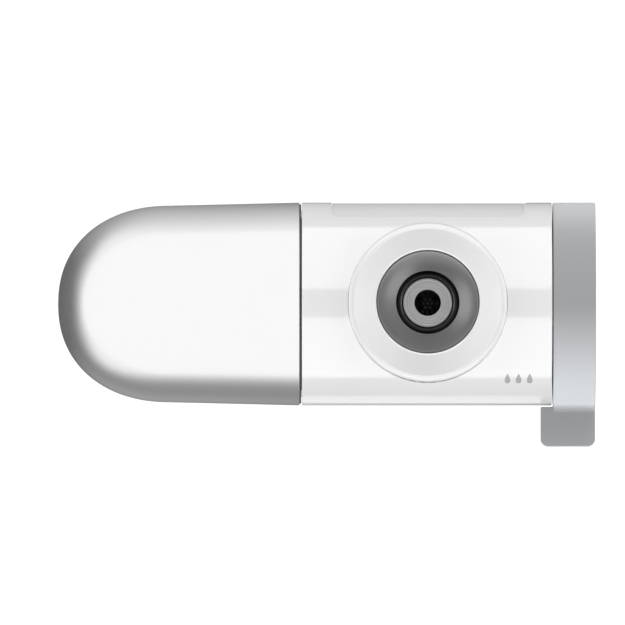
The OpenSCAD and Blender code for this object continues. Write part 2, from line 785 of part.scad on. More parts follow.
// Small spout of the filtered water
module purified_nozzle() {
    tip_chamfer = 0.6;
    color("silver") on_axis() translate([-nozzle_x, 0, 0]) rotate_extrude() polygon([
        [nozzle_bore_r, nozzle_h0], [nozzle_r - tip_chamfer, nozzle_h0], [nozzle_r, nozzle_h0 + tip_chamfer],
        [nozzle_r, nozzle_h1], [nozzle_bore_r, nozzle_h1]
    ]);
}

// Washer above the small spout
module nozzle_seal() {
    color("#2a2a2a") on_axis() tube_z(-nozzle_x, nozzle_h1, nozzle_floor, nozzle_r, nozzle_bore_r);
}

// Two screws from below, through the housing into the chassis
module housing_screws() {
    color("gray") on_axis() at_screws() difference() {
        union() {
            rod_z(0, 0, screw_seat - screw_head_t, screw_seat, screw_head_r);
            rod_z(0, 0, screw_seat - fixed_gap, screw_seat + screw_len, screw_r);
        }
        for (turn = [0, 90]) {
            rotate(turn) translate([-screw_head_r * 0.6, -screw_r * 0.3, screw_seat - screw_head_t - past])
                cube([screw_head_r * 1.2, screw_r * 0.6, past + screw_head_t / 2]);
        }
    }
}

// Flat ring in the seam, which the cover carries
module cover_seal() {
    color("#222222") on_axis()
        tube_x(cover_x0 + face_gap, body_x0 - face_gap, body_r - seam_depth, neck_r + seat_gap);
}

// Silver dome
module filter_cover() {
    color("silver") on_axis() spin_x(concat(
        [[cover_in_r, cover_x0], [body_r, cover_x0]],
        nose(0),
        [for (i = [28 : -1 : 0]) nose(cover_wall)[i]]
    ));
}

// Threaded ring inside the cover's mouth, tapered like the cover's wall
module cover_liner() {
    ring_in_r = neck_r + seat_gap;
    color("white") on_axis() spin_x([
        [ring_in_r, ring_x1], [ring_r1, ring_x1], [ring_r, cover_x0], [ring_in_r, cover_x0]
    ]);
}

// End disc of the cartridge with its sealed stem
module cartridge_base() {
    stem_x = cartridge_x0 + stem_len;
    color("white") on_axis() difference() {
        union() {
            rod_x(base_x1, cartridge_x0, cartridge_r);
            rod_x(cartridge_x0 - fixed_gap, stem_x, stem_out_r);
        }
        rod_x(base_x1 - past, stem_x + past, core_r - core_wall);
        for (x = stem_seals()) {
            tube_x(x - stem_seal_r, x + stem_seal_r, stem_out_r + past, stem_out_r - stem_seal_r * 1.6);
        }
    }
}

// Places of the stem's two seals
function stem_seals() = [cartridge_x0 + stem_len * 0.4, cartridge_x0 + stem_len * 0.75];

// Seals on the cartridge's stem
module cartridge_o_rings() {
    color("#222222") on_axis() {
        for (x = stem_seals()) {
            seal_x(x, socket_in_r - stem_seal_r, stem_seal_r - fixed_gap);
        }
    }
}

// Slotted shell of the cartridge with a pull fin at its end
module cartridge_case() {
    row_len = (cartridge_len - base_t - case_wall) / case_rows;
    slot_w = cartridge_r / case_slots * 2.2;
    color("white") on_axis() difference() {
        union() {
            spin_x([
                [0, cartridge_x1], [cartridge_r - case_wall, cartridge_x1], [cartridge_r, cartridge_x1 + case_wall],
                [cartridge_r, block_x0], [case_in_r, block_x0], [case_in_r, cartridge_x1 + case_wall],
                [0, cartridge_x1 + case_wall]
            ]);
            translate([cartridge_x1 - fin_len, -cartridge_r / 2, -fin_t / 2])
                cube([fin_len + fixed_gap, cartridge_r, fin_t]);
        }
        for (row = [0 : case_rows - 1], i = [0 : case_slots - 1]) {
            rotate([360 * i / case_slots, 0, 0])
                translate([block_x0 - (row + 0.85) * row_len, -slot_w / 2, case_in_r / 2])
                    cube([row_len * 0.7, slot_w, cartridge_r]);
        }
    }
}

// Fleece round the carbon
module fleece_wrap() {
    color("linen") on_axis() tube_x(block_x1, block_x0, fleece_r, fleece_r - fleece_t);
}

// Hollow carbon block
module carbon_block() {
    color("#2b2b2b") on_axis() tube_x(block_x1, block_x0, block_r, block_in_r);
}

// Tube in the carbon block, with rows of holes
module core_tube() {
    hole_r = 0.9;
    hole_step = 8;
    color("white") on_axis() difference() {
        tube_x(block_x1, block_x0, core_r, core_r - core_wall);
        for (x = [block_x1 + hole_step / 2 : hole_step : block_x0 - hole_step / 2], turn = [0, 60, 120]) {
            translate([x, 0, 0]) rotate([turn, 0, 0]) cylinder(r = hole_r, h = 3 * core_r, center = true);
        }
    }
}

body_shell();
rear_panel();
water_manifold();
inlet_gasket();
inlet_insert();
inlet_strainer();
adapter_ring();
slip_washer();
locking_collar();
valve_liner();
valve_gland();
valve_spindle();
spindle_o_rings();
selector_lever();
lever_screw();
lever_cap();
outlet_housing();
outlet_seal();
shower_plate();
purified_nozzle();
nozzle_seal();
housing_screws();
cover_seal();
filter_cover();
cover_liner();
cartridge_base();
cartridge_o_rings();
cartridge_case();
fleece_wrap();
carbon_block();
core_tube();
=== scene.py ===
import bmesh
import bpy
import math
import numpy as np
from mathutils import Matrix, Vector


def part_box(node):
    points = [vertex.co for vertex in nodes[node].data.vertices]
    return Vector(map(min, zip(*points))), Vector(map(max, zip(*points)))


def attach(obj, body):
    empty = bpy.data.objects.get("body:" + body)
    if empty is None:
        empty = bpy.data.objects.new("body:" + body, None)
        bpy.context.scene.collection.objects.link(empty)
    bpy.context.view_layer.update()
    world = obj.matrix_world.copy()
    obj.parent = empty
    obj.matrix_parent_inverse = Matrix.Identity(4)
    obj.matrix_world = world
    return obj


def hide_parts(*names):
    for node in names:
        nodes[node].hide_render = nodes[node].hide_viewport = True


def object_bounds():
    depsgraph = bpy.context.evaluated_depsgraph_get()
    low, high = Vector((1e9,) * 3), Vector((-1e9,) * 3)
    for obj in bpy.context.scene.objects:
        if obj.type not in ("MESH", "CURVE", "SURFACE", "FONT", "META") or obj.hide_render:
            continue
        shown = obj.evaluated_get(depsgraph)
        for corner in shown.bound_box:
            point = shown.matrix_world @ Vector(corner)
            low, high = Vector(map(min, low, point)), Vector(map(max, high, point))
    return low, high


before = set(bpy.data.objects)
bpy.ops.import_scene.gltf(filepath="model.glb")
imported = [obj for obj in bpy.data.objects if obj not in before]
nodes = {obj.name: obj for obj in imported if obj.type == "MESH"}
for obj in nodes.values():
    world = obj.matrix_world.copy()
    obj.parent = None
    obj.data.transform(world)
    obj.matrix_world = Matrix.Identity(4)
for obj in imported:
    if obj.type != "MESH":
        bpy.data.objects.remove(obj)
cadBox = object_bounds()
scene = bpy.context.scene
mm = 0.001
tiny = 1e-6  # a smaller radius counts as none
touch = 2e-5  # a point this close to a surface lies on it, in metres
bodyR = 28.4  # shared by body, dome and lever
bodyLow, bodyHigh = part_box("body_shell")
axisZ = (bodyLow.z + bodyHigh.z) / 2  # height of the body's axis
print("frame loaded, nodes:", len(nodes))


# mesh helpers, with outlines in millimetres from the body's axis
def arcPoints(cx, cy, r, start, end, steps):
    turn = [math.radians(start + (end - start) * i / steps) for i in range(steps + 1)]
    return [(cx + r * math.cos(t), cy + r * math.sin(t)) for t in turn]


def roundOutline(corners, steps=6):  # corners are (r, a, rounding)
    points = []
    for i, (r, a, rounding) in enumerate(corners):
        here = Vector((r, a))
        if rounding == 0:
            points.append((r, a))
            continue
        u = (Vector(corners[i - 1][:2]) - here).normalized()
        v = (Vector(corners[(i + 1) % len(corners)][:2]) - here).normalized()
        half = u.angle(v) / 2
        middle = here + (u + v).normalized() * (rounding / math.sin(half))
        first = here + u * (rounding / math.tan(half)) - middle
        last = here + v * (rounding / math.tan(half)) - middle
        t0 = math.atan2(first.y, first.x)
        swing = (math.atan2(last.y, last.x) - t0 + math.pi) % (2 * math.pi) - math.pi
        for k in range(steps + 1):
            t = t0 + swing * k / steps
            points.append((middle.x + rounding * math.cos(t), middle.y + rounding * math.sin(t)))
    return points


def sharpen(obj, angle):
    obj.data.set_sharp_from_angle(angle=math.radians(angle))


def makeObject(name, bm, sharp=35):
    mesh = bpy.data.meshes.new(name)
    bm.to_mesh(mesh)
    bm.free()
    mesh.shade_smooth()
    obj = bpy.data.objects.new(name, mesh)
    sharpen(obj, sharp)
    scene.collection.objects.link(obj)
    return obj


def spin(name, outline, about="x", place=0.0, *, steps, sharp=35):  # outline of (radius, place along axis)
    bm = bmesh.new()
    rows = []
    for r, a in outline:
        row = []
        for k in range(steps if r > tiny else 1):
            t = 2 * math.pi * k / steps
            u, v = r * math.cos(t), r * math.sin(t)
            spot = (a, u, v) if about == "x" else (place + u, v, a)
            row.append(bm.verts.new(Vector(spot) * mm + Vector((0, 0, axisZ))))
        rows.append(row)
    for i, low in enumerate(rows):
        high = rows[(i + 1) % len(rows)]
        if len(low) == 1 and len(high) == 1:
            continue
        for k in range(steps):
            n = (k + 1) % steps
            quad = [low[k % len(low)], low[n % len(low)], high[n % len(high)], high[k % len(high)]]
            bm.faces.new(list(dict.fromkeys(quad)))
    bmesh.ops.recalc_face_normals(bm, faces=bm.faces)
    return makeObject(name, bm, sharp)


def prism(name, outline, depth, turn):  # flat outline pushed along its normal, then turned into place
    bm = bmesh.new()
    low = [bm.verts.new((x, y, depth[0])) for x, y in outline]
    high = [bm.verts.new((x, y, depth[1])) for x, y in outline]
    bm.faces.new(low)
    bm.faces.new(high)
    for i in range(len(low)):
        j = (i + 1) % len(low)
        bm.faces.new((low[i], low[j], high[j], high[i]))
    bmesh.ops.recalc_face_normals(bm, faces=bm.faces)
    bm.transform(Matrix.Translation((0, 0, axisZ)) @ Matrix.Scale(mm, 4) @ turn.to_4x4())
    return makeObject(name, bm)


asDrawn = Matrix.Identity(3)  # outline in x and y, pushed upwards
towardRear = Matrix(((1, 0, 0), (0, 0, 1), (0, 1, 0)))  # outline in x and height, pushed towards +y
acrossBody = Matrix(((0, 0, 1), (1, 0, 0), (0, 1, 0)))  # outline in y and height, pushed along +x


def settle(obj):  # the modifiers become plain mesh
    graph = bpy.context.evaluated_depsgraph_get()
    mesh = bpy.data.meshes.new_from_object(
        obj.evaluated_get(graph), preserve_all_data_layers=True, depsgraph=graph)
    obj.modifiers.clear()
    obj.data = mesh
    mesh.name = obj.name
    return obj


def mendMesh(obj, reach=2e-6):  # joins the double points that a cut leaves
    bm = bmesh.new()
    bm.from_mesh(obj.data)
    bmesh.ops.remove_doubles(bm, verts=bm.verts, dist=reach)
    bmesh.ops.dissolve_degenerate(bm, edges=bm.edges, dist=reach)
    bm.to_mesh(obj.data)
    bm.free()


def carve(obj, others, how="DIFFERENCE"):
    for other in others:
        cut = obj.modifiers.new("cut", "BOOLEAN")
        cut.operation = how
        cut.solver = "EXACT"
        cut.object = other
    settle(obj)
    mendMesh(obj)
    for other in others:
        bpy.data.objects.remove(other)
    return obj


def softenEdges(obj, width, limit="ANGLE", segments=4, angle=40):
    bevel = obj.modifiers.new("soften", "BEVEL")
    bevel.width = width * mm
    bevel.segments = segments
    bevel.limit_method = limit
    bevel.angle_limit = math.radians(angle)
    return settle(obj)


def evenShade(obj):  # flat faces stay flat beside their rounded edges
    weigh = obj.modifiers.new("weigh", "WEIGHTED_NORMAL")
    weigh.keep_sharp = True
    return settle(obj)


def readOut(items, label, width=3, kind=np.float32):  # one property of all items as an array
    values = np.zeros(len(items) * width, kind)
    items.foreach_get(label, values)
    return values.reshape(-1, width) if width > 1 else values


def trueRound(obj, rounds, facing=0.9):  # exact normals on the named cylinders: (axis, radius, side)
    mesh = obj.data
    normals = readOut(mesh.corner_normals, "vector")
    spots = readOut(mesh.vertices, "co")[readOut(mesh.loops, "vertex_index", 1, np.int32)]
    corners = readOut(mesh.polygons, "loop_total", 1, np.int32)
    faceNormals = np.repeat(readOut(mesh.polygons, "normal"), corners, axis=0)
    for axis, radius, side in rounds:
        away = spots.copy()
        if axis == "x":
            away[:, 0] = 0
            away[:, 2] -= axisZ
        else:
            away[:, 2] = 0
        far = np.linalg.norm(away, axis=1)
        away /= np.maximum(far, tiny)[:, None]
        hit = (np.abs(far - radius * mm) < touch) & ((faceNormals * away).sum(1) * side > facing)
        normals[hit] = away[hit] * side
    mesh.normals_split_custom_set(normals.tolist())
    return obj


def dress(obj, material, body, slotName, *stood):
    obj.data.materials.clear()
    obj.data.materials.append(material)
    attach(obj, body)
    if stood:
        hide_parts(*stood)
    return obj


# shader groups
colorSockets = ("Tone", "Shade", "Base", "Dust", "Color")


def newGroup(name, inputs, outputs):
    group = bpy.data.node_groups.new(name, "ShaderNodeTree")
    for way, labels in (("INPUT", inputs), ("OUTPUT", outputs)):
        for label in labels:
            kind = "Vector" if label == "Vector" else "Color" if label in colorSockets else "Float"
            group.interface.new_socket(label, in_out=way, socket_type="NodeSocket" + kind)
    return group, group.nodes.new("NodeGroupInput").outputs, group.nodes.new("NodeGroupOutput").inputs


def feed(tree, socket, source):  # a link, or a constant on the socket itself
    if isinstance(source, bpy.types.NodeSocket):
        tree.links.new(source, socket)
    else:
        socket.default_value = source


def mathNode(tree, operation, *values):
    node = tree.nodes.new("ShaderNodeMath")
    node.operation = operation
    for socket, value in zip(node.inputs, values):
        feed(tree, socket, value)
    return node.outputs[0]


def times(tree, a, b):
    return mathNode(tree, "MULTIPLY", a, b)


def addUp(tree, *values):
    total = values[0]
    for value in values[1:]:
        total = mathNode(tree, "ADD", total, value)
    return total


def mixColor(tree, share, a, b):
    node = tree.nodes.new("ShaderNodeMix")
    node.data_type = "RGBA"
    tree.links.new(share, node.inputs["Factor"])
    for label, value in (("A", a), ("B", b)):
        socket = [s for s in node.inputs if s.name == label and s.type == "RGBA"][0]
        tree.links.new(value, socket)
    return [s for s in node.outputs if s.type == "RGBA"][0]


def noiseNode(tree, vector, scale, detail, rough=0.5):
    node = tree.nodes.new("ShaderNodeTexNoise")
    node.inputs["Scale"].default_value = scale
    node.inputs["Detail"].default_value = detail
    node.inputs["Roughness"].default_value = rough
    tree.links.new(vector, node.inputs["Vector"])
    return node.outputs["Fac"]


noiseMean = 0.5
skinSockets = ("Vector", "Tone", "Shade", "Roughness", "Spread"), ("Color", "Roughness", "Height")


def endSkin(group, start, end, share, drift, height):  # tone, roughness and height of a skin
    group.links.new(mixColor(group, share, start["Tone"], start["Shade"]), end["Color"])
    swing = times(group, mathNode(group, "SUBTRACT", drift, noiseMean), start["Spread"])
    group.links.new(addUp(group, start["Roughness"], swing), end["Roughness"])
    group.links.new(height, end["Height"])
    return group


def mouldedSkinGroup(s):  # faint flow marks and the fine texture of a moulding tool
    group, start, end = newGroup("mouldedSkin", *skinSockets)
    flow, grain, fine = [noiseNode(group, start["Vector"], *s[label]) for label in ("flow", "grain", "fine")]
    return endSkin(group, start, end, flow, fine, addUp(group, grain, times(group, fine, s["fineShare"])))


def flakePaintGroup(s):  # pearl of a silver lacquer
    group, start, end = newGroup("flakePaint", *skinSockets)
    cells = group.nodes.new("ShaderNodeTexVoronoi")
    cells.inputs["Scale"].default_value = s["flake"]
    group.links.new(start["Vector"], cells.inputs["Vector"])
    tone = group.nodes.new("ShaderNodeRGBToBW")
    group.links.new(cells.outputs["Color"], tone.inputs["Color"])
    flake = tone.outputs[0]
    cloud = noiseNode(group, start["Vector"], *s["cloud"])
    share = addUp(group, times(group, flake, s["flakeShare"]), times(group, cloud, 1 - s["flakeShare"]))
    return endSkin(group, start, end, share, cloud, flake)


def turnedRingsGroup():  # fine grooves round the upright axis
    group, start, end = newGroup("turnedRings", ("Vector", "Pitch", "Tone", "Shade"), ("Color", "Height"))
    split = group.nodes.new("ShaderNodeSeparateXYZ")
    group.links.new(start["Vector"], split.inputs[0])
    x, y = split.outputs[0], split.outputs[1]
    radius = mathNode(group, "SQRT", addUp(group, times(group, x, x), times(group, y, y)))
    turn = times(group, mathNode(group, "DIVIDE", radius, start["Pitch"]), 2 * math.pi)
    wave = times(group, addUp(group, mathNode(group, "SINE", turn), 1.0), 0.5)  # from 0 to 1
    group.links.new(mixColor(group, wave, start["Tone"], start["Shade"]), end["Color"])
    group.links.new(wave, end["Height"])
    return group


def dustGroup(s):  # a little dust and handling marks in patches
    group, start, end = newGroup("handlingDust", ("Vector", "Base", "Dust", "Amount"), ("Color",))
    patch = noiseNode(group, start["Vector"], *s["patch"])
    above = times(group, mathNode(group, "SUBTRACT", patch, s["from"]), s["gain"])
    lift = mathNode(group, "MAXIMUM", above, 0.0)
    mask = mathNode(group, "MINIMUM", times(group, lift, start["Amount"]), 1.0)
    group.links.new(mixColor(group, mask, start["Base"], start["Dust"]), end["Color"])
    return group


mouldedSkin = mouldedSkinGroup({"flow": (38, 3), "grain": (2600, 2), "fine": (420, 2), "fineShare": 0.6})
flakePaint = flakePaintGroup({"flake": 5200, "cloud": (55, 3), "flakeShare": 0.6})
turnedRings = turnedRingsGroup()
handlingDust = dustGroup({"patch": (90, 5, 0.65), "from": 0.52, "gain": 3.0})


def placeGroup(tree, group, links, values):
    node = tree.nodes.new("ShaderNodeGroup")
    node.node_tree = group
    for label, source in links.items():
        tree.links.new(source, node.inputs[label])
    for label, value in values.items():
        node.inputs[label].default_value = value
    return node.outputs


def newSurface(name):
    material = bpy.data.materials.new(name)
    material.use_nodes = True
    tree = material.node_tree
    return material, tree, tree.nodes["Principled BSDF"].inputs


def objectSpot(tree):
    return tree.nodes.new("ShaderNodeTexCoord").outputs["Object"]


def grey(value, warm=0.0):
    return (value + warm, value, value - warm, 1)


white = grey(1)


def bumpTo(tree, shader, height, strength, distance):
    bump = tree.nodes.new("ShaderNodeBump")
    bump.inputs["Strength"].default_value = strength
    bump.inputs["Distance"].default_value = distance
    tree.links.new(height, bump.inputs["Height"])
    tree.links.new(bump.outputs["Normal"], shader["Normal"])


plainLook = {"group": mouldedSkin, "spread": 0.05, "metal": 0.0, "ior": 1.5, "edgeTint": white,
             "bump": 0.05, "bumpDepth": 0.00002, "dust": grey(0.5, 0.01), "dustAmount": 0.03}


def finish(name, look):  # one surface from a dictionary of its values
    s = {**plainLook, **look}
    material, tree, shader = newSurface(name)
    where = objectSpot(tree)
    skin = placeGroup(tree, s["group"], {"Vector": where}, {
        "Tone": s["tone"], "Shade": s["shade"], "Roughness": s["rough"], "Spread": s["spread"]})
    dust = placeGroup(tree, handlingDust, {"Vector": where, "Base": skin["Color"]}, {
        "Dust": s["dust"], "Amount": s["dustAmount"]})
    tree.links.new(dust["Color"], shader["Base Color"])
    tree.links.new(skin["Roughness"], shader["Roughness"])
    shader["Metallic"].default_value = s["metal"]
    shader["IOR"].default_value = s["ior"]
    shader["Specular Tint"].default_value = s["edgeTint"]  # tone of the lacquer at a grazing angle
    bumpTo(tree, shader, skin["Height"], s["bump"], s["bumpDepth"])
    return material


whiteGloss = finish("whiteGloss", {"tone": grey(0.85), "shade": grey(0.84), "rough": 0.12, "spread": 0.03,
                                   "bump": 0.02, "dustAmount": 0.01})
panelWhite = finish("panelWhite", {"tone": grey(0.80), "shade": grey(0.78), "rough": 0.22, "bump": 0.04})
domeSilver = finish("domeSilver", {"group": flakePaint, "tone": grey(0.96), "shade": grey(0.93),
                                   "rough": 0.19, "metal": 1.0, "edgeTint": grey(0.82), "bump": 0.03,
                                   "dustAmount": 0.01})
leverSilver = finish("leverSilver", {"group": flakePaint, "tone": (0.375, 0.38, 0.39, 1),
                                     "shade": (0.345, 0.35, 0.36, 1), "rough": 0.5, "metal": 0.25,
                                     "bump": 0.04, "dustAmount": 0.02})
# the strainer is painted near black with a weak gloss: painted shade inside the inlet hole
paintedShadeScreen = finish("paintedShadeScreen", {"group": flakePaint, "tone": grey(0.006), "shade": grey(0.004),
                                   "rough": 0.7, "ior": 1.15})
funnelGrey = finish("funnelGrey", {"tone": grey(0.175), "shade": grey(0.155), "rough": 0.45, "bump": 0.12})
rubberBlack = finish("rubberBlack", {"tone": grey(0.010), "shade": grey(0.016), "rough": 0.6, "ior": 1.4,
                                     "bump": 0.25, "dustAmount": 0.04})
sealBlack = finish("sealBlack", {"tone": grey(0.006), "shade": grey(0.009), "rough": 0.36, "ior": 1.2,
                                 "bump": 0.12})
chassisGrey = finish("chassisGrey", {"tone": grey(0.13), "shade": grey(0.11), "rough": 0.5, "bump": 0.15,
                                     "dustAmount": 0.04})
chassisWhite = finish("chassisWhite", {"tone": grey(0.78), "shade": grey(0.72), "rough": 0.45, "bump": 0.15,
                                       "dustAmount": 0.08})
brightSteel = finish("brightSteel", {"group": flakePaint, "tone": grey(0.66), "shade": grey(0.58),
                                     "rough": 0.26, "metal": 1.0})
# brass with painted shade: darkened far below its own tone so the valve parts seen through the strainer stay
# dark
brassWithPaintedShade = finish("brassWithPaintedShade", {"group": flakePaint, "tone": (0.07, 0.058, 0.038, 1),
                                     "shade": (0.05, 0.04, 0.026, 1), "rough": 0.34, "metal": 1.0})
filterFleece = finish("filterFleece", {"tone": (0.82, 0.80, 0.74, 1), "shade": (0.66, 0.63, 0.56, 1),
                                       "rough": 0.95, "bump": 0.9, "bumpDepth": 0.0002})
pressedCarbon = finish("pressedCarbon", {"tone": grey(0.03), "shade": grey(0.012), "rough": 0.9, "bump": 0.9,
                                         "bumpDepth": 0.0002})
printGrey = finish("printGrey", {"tone": grey(0.36), "shade": grey(0.33), "rough": 0.4})


def paleBushSurface(s):
    material, tree, shader = newSurface("paleBush")
    where = objectSpot(tree)
    rings = placeGroup(tree, turnedRings, {"Vector": where}, {
        "Pitch": s["pitch"], "Tone": s["tone"], "Shade": s["shade"]})
    dust = placeGroup(tree, handlingDust, {"Vector": where, "Base": rings["Color"]}, {
        "Dust": s["dust"], "Amount": s["dustAmount"]})
    tree.links.new(dust["Color"], shader["Base Color"])
    shader["Roughness"].default_value = s["rough"]
    bumpTo(tree, shader, rings["Height"], s["bump"], s["bumpDepth"])
    return material


paleBush = paleBushSurface({"pitch": 0.00052, "tone": grey(0.80), "shade": grey(0.75), "rough": 0.4,
                            "bump": 0.2, "bumpDepth": 0.00003, "dust": (0.6, 0.58, 0.55, 1),
                            "dustAmount": 0.05})
print("surfaces made:", len(bpy.data.materials))


# white body with its openings, and the panel at its rear
shellLook = {"steps": 288, "sharp": 30, "far": 40, "rear": (5, 40)}  # far, rear: reach of the cutters
bodyLook = {"r": bodyR, "x0": -35.15, "x1": 34.75, "bore": 26.2, "edge": 0.3, "endWall": 2.0, "endHole": 9.34,
            "holeEdge": 0.2, "opening": 22.3, "rim": 0.18, "slot": 9.6, "slotX": (-22.2, 3.7),
            "slotLow": -36.5, "panel": (53.4, 30.0, 2.0), "panelGap": 0.1, "pocketR": 27.35, "pocketOver": 3,
            "notch": (0.9, 8.0), "notchIn": 1}


def roundedRect(width, height, corner, steps=10):
    w, h = width / 2, height / 2
    return roundOutline([(-w, -h, corner), (w, -h, corner), (w, h, corner), (-w, h, corner)], steps)


def oblongOutline(x0, x1, r, steps=48):
    return arcPoints(x1, 0, r, -90, 90, steps) + arcPoints(x0, 0, r, 90, 270, steps)


def band(name, low, high):  # ring about the body's axis between two radii
    far = shellLook["far"]
    return spin(name, [(low, -far), (high, -far), (high, far), (low, far)], steps=shellLook["steps"])


def rearLimit(width, height, corner):  # rounded rectangle that bounds the panel or its pocket
    return prism("limit", roundedRect(width, height, corner), shellLook["rear"], towardRear)


def softenRim(obj, s):  # rounds the saddle-shaped edge of the collar's opening
    mesh = obj.data
    x, y, z = readOut(mesh.vertices, "co").T
    z = z - axisZ
    onOpening = np.abs(np.hypot(x, y) - s["opening"] * mm) < touch
    onShell = np.abs(np.hypot(y, z) - s["r"] * mm) < touch
    onRim = onOpening & onShell & (z > 0)
    weight = mesh.attributes.new("bevel_weight_edge", "FLOAT", "EDGE")
    weight.data.foreach_set("value", [float(all(onRim[v] for v in e.vertices)) for e in mesh.edges])
    return softenEdges(obj, s["rim"], "WEIGHT")


def bodyPiece(s):
    inner = s["x1"] - s["endWall"]
    body = spin("bodyShellSkin", roundOutline([
        (s["bore"], s["x0"], 0), (s["r"], s["x0"], s["edge"]), (s["r"], s["x1"], s["edge"]),
        (s["endHole"], s["x1"], s["holeEdge"]), (s["endHole"], inner, 0), (s["bore"], inner, 0)]),
        steps=shellLook["steps"])
    w, h, corner = s["panel"]
    gap = s["panelGap"]
    pocket = band("pocket", s["pocketR"], s["r"] + s["pocketOver"])
    limit = rearLimit(w + 2 * gap, h + 2 * gap, corner + gap)
    notchW, notchH = s["notch"]
    left, right, half = w / 2 - s["notchIn"], w / 2 + gap + notchW, notchH / 2
    notch = prism("notch", [(left, -half), (right, -half), (right, half), (left, half)],
                  shellLook["rear"], towardRear)
    carve(limit, [notch], "UNION")
    carve(pocket, [limit], "INTERSECT")
    far = shellLook["far"]
    opening = spin("opening", [(0, 0), (s["opening"], 0), (s["opening"], far), (0, far)], "z",
                   steps=shellLook["steps"])
    slot = prism("slot", oblongOutline(*s["slotX"], s["slot"]), (s["slotLow"], 0), asDrawn)
    carve(body, [pocket, opening, slot])
    softenRim(body, s)
    sharpen(body, shellLook["sharp"])
    evenShade(body)
    trueRound(body, [("x", s["r"], 1), ("x", s["bore"], -1), ("z", s["opening"], -1), ("x", s["pocketR"], 1)])
    return dress(body, whiteGloss, "housing", "white_plastic", "body_shell")


bodyPiece(bodyLook)

panelLook = {"face": 28.18, "back": 27.45, "size": bodyLook["panel"]}


def panelPiece(s):
    panel = band("rearPanelSkin", s["back"], s["face"])
    carve(panel, [rearLimit(*s["size"])], "INTERSECT")
    sharpen(panel, shellLook["sharp"])
    trueRound(panel, [("x", s["face"], 1), ("x", s["back"], -1)])
    return dress(panel, panelWhite, "housing", "panel_plastic", "rear_panel")


panelPiece(panelLook)

# silver dome
domeLook = {"r": bodyR, "x0": -35.8, "x1": -103.4, "nose": 27.55, "noseLen": 31.7, "power": 2.2, "wall": 1.8,
            "lip": 0.25, "steps": 224, "sharp": 50}


def noseOutline(s, wall, steps=64):  # a quarter of a superellipse
    points = []
    for i in range(steps + 1):
        t = math.pi / 2 * i / steps
        c, d = max(math.cos(t), 0.0), math.sin(t)
        r = (s["nose"] - wall) * c ** (2 / s["power"]) if i < steps else 0.0
        points.append((r, s["x1"] + s["noseLen"] - (s["noseLen"] - wall) * d ** (2 / s["power"])))
    return points


def domePiece(s):
    base = s["x1"] + s["noseLen"]
    mouth = roundOutline([(s["nose"] - s["wall"], base, 0), (s["r"] - s["wall"], s["x0"], s["lip"]),
                          (s["r"], s["x0"], s["lip"]), (s["nose"], base, 0)])
    outline = mouth[1:-1] + noseOutline(s, 0) + noseOutline(s, s["wall"])[::-1]
    dome = spin("domeSkin", outline, steps=s["steps"], sharp=s["sharp"])
    evenShade(dome)
    return dress(dome, domeSilver, "cover", "silver_finish", "filter_cover")


domePiece(domeLook)
print("body, panel and dome made")

# collar with its shoulder and cone; each Turn holds the two angles of an arc
collarLook = {"r": 22.25, "mouth": 14.4, "thread": 17.1, "gripLow": 17.2, "lipFace": 28.6, "shoulder": 29.2,
              "top": 36.19, "shoulderW": 1.4, "roundR": 1.35, "footR": 0.4, "footTurn": (270, 222),
              "lip": 0.3, "lipTurn": (40, 180), "wallR": 22.05, "ribTop": 27.2, "eaveR": 0.2,
              "eaveTurn": (-60, 0), "ribs": 48, "ribW": 1.5, "ribRise": 0.2, "ribSides": 20, "steps": 256}


def collarPiece(s):
    foot = s["r"] - s["shoulderW"]
    outline = [(s["thread"], s["gripLow"]), (s["wallR"], s["gripLow"]), (s["wallR"], s["ribTop"])]
    outline += arcPoints(s["r"] - s["eaveR"], s["ribTop"] + s["eaveR"], s["eaveR"], *s["eaveTurn"], steps=4)
    outline += arcPoints(s["r"] - s["roundR"], s["shoulder"] - s["roundR"], s["roundR"], 0, 90, steps=10)
    outline += arcPoints(foot, s["shoulder"] + s["footR"], s["footR"], *s["footTurn"], steps=6)
    outline += arcPoints(s["mouth"] + s["lip"], s["top"] - s["lip"], s["lip"], *s["lipTurn"], steps=12)
    outline += [(s["mouth"], s["lipFace"]), (s["thread"], s["lipFace"])]
    collar = spin("collarSkin", outline, "z", steps=s["steps"])
    evenShade(collar)
    return dress(collar, whiteGloss, "collar", "white_plastic", "locking_collar")


collarPiece(collarLook)


# geometry node helpers
def newTree(name, **inputs):
    tree = bpy.data.node_groups.new(name, "GeometryNodeTree")
    for way in ("INPUT", "OUTPUT"):
        tree.interface.new_socket("Geometry", in_out=way, socket_type="NodeSocketGeometry")
    for label, kind in {**inputs, "Material": "Material"}.items():
        tree.interface.new_socket(label, in_out="INPUT", socket_type="NodeSocket" + kind)
    return tree, tree.nodes.new("NodeGroupInput").outputs, tree.nodes.new("NodeGroupOutput").inputs


def geoNode(tree, kind, **sources):
    node = tree.nodes.new("GeometryNode" + kind)
    for label, source in sources.items():
        feed(tree, node.inputs[label.replace("_", " ")], source)
    return node.outputs[0]


def combine(tree, x, y, z):
    node = tree.nodes.new("ShaderNodeCombineXYZ")
    for socket, value in zip(node.inputs, (x, y, z)):
        feed(tree, socket, value)
    return node.outputs[0]


def endTree(tree, start, end, geometry):
    real = geoNode(tree, "RealizeInstances", Geometry=geometry)
    paint = geoNode(tree, "SetMaterial", Geometry=real, Material=start["Material"])
    tree.links.new(paint, end[0])
    return tree


def growPiece(name, tree, values, sharp=40):
    obj = bpy.data.objects.new(name, bpy.data.meshes.new(name))
    scene.collection.objects.link(obj)
    grow = obj.modifiers.new("grow", "NODES")
    grow.node_group = tree
    for item in tree.interface.items_tree:
        if item.item_type == "SOCKET" and item.in_out == "INPUT" and item.name in values:
            grow[item.identifier] = values[item.name]
    settle(obj)
    obj.data.shade_smooth()
    sharpen(obj, sharp)
    return obj


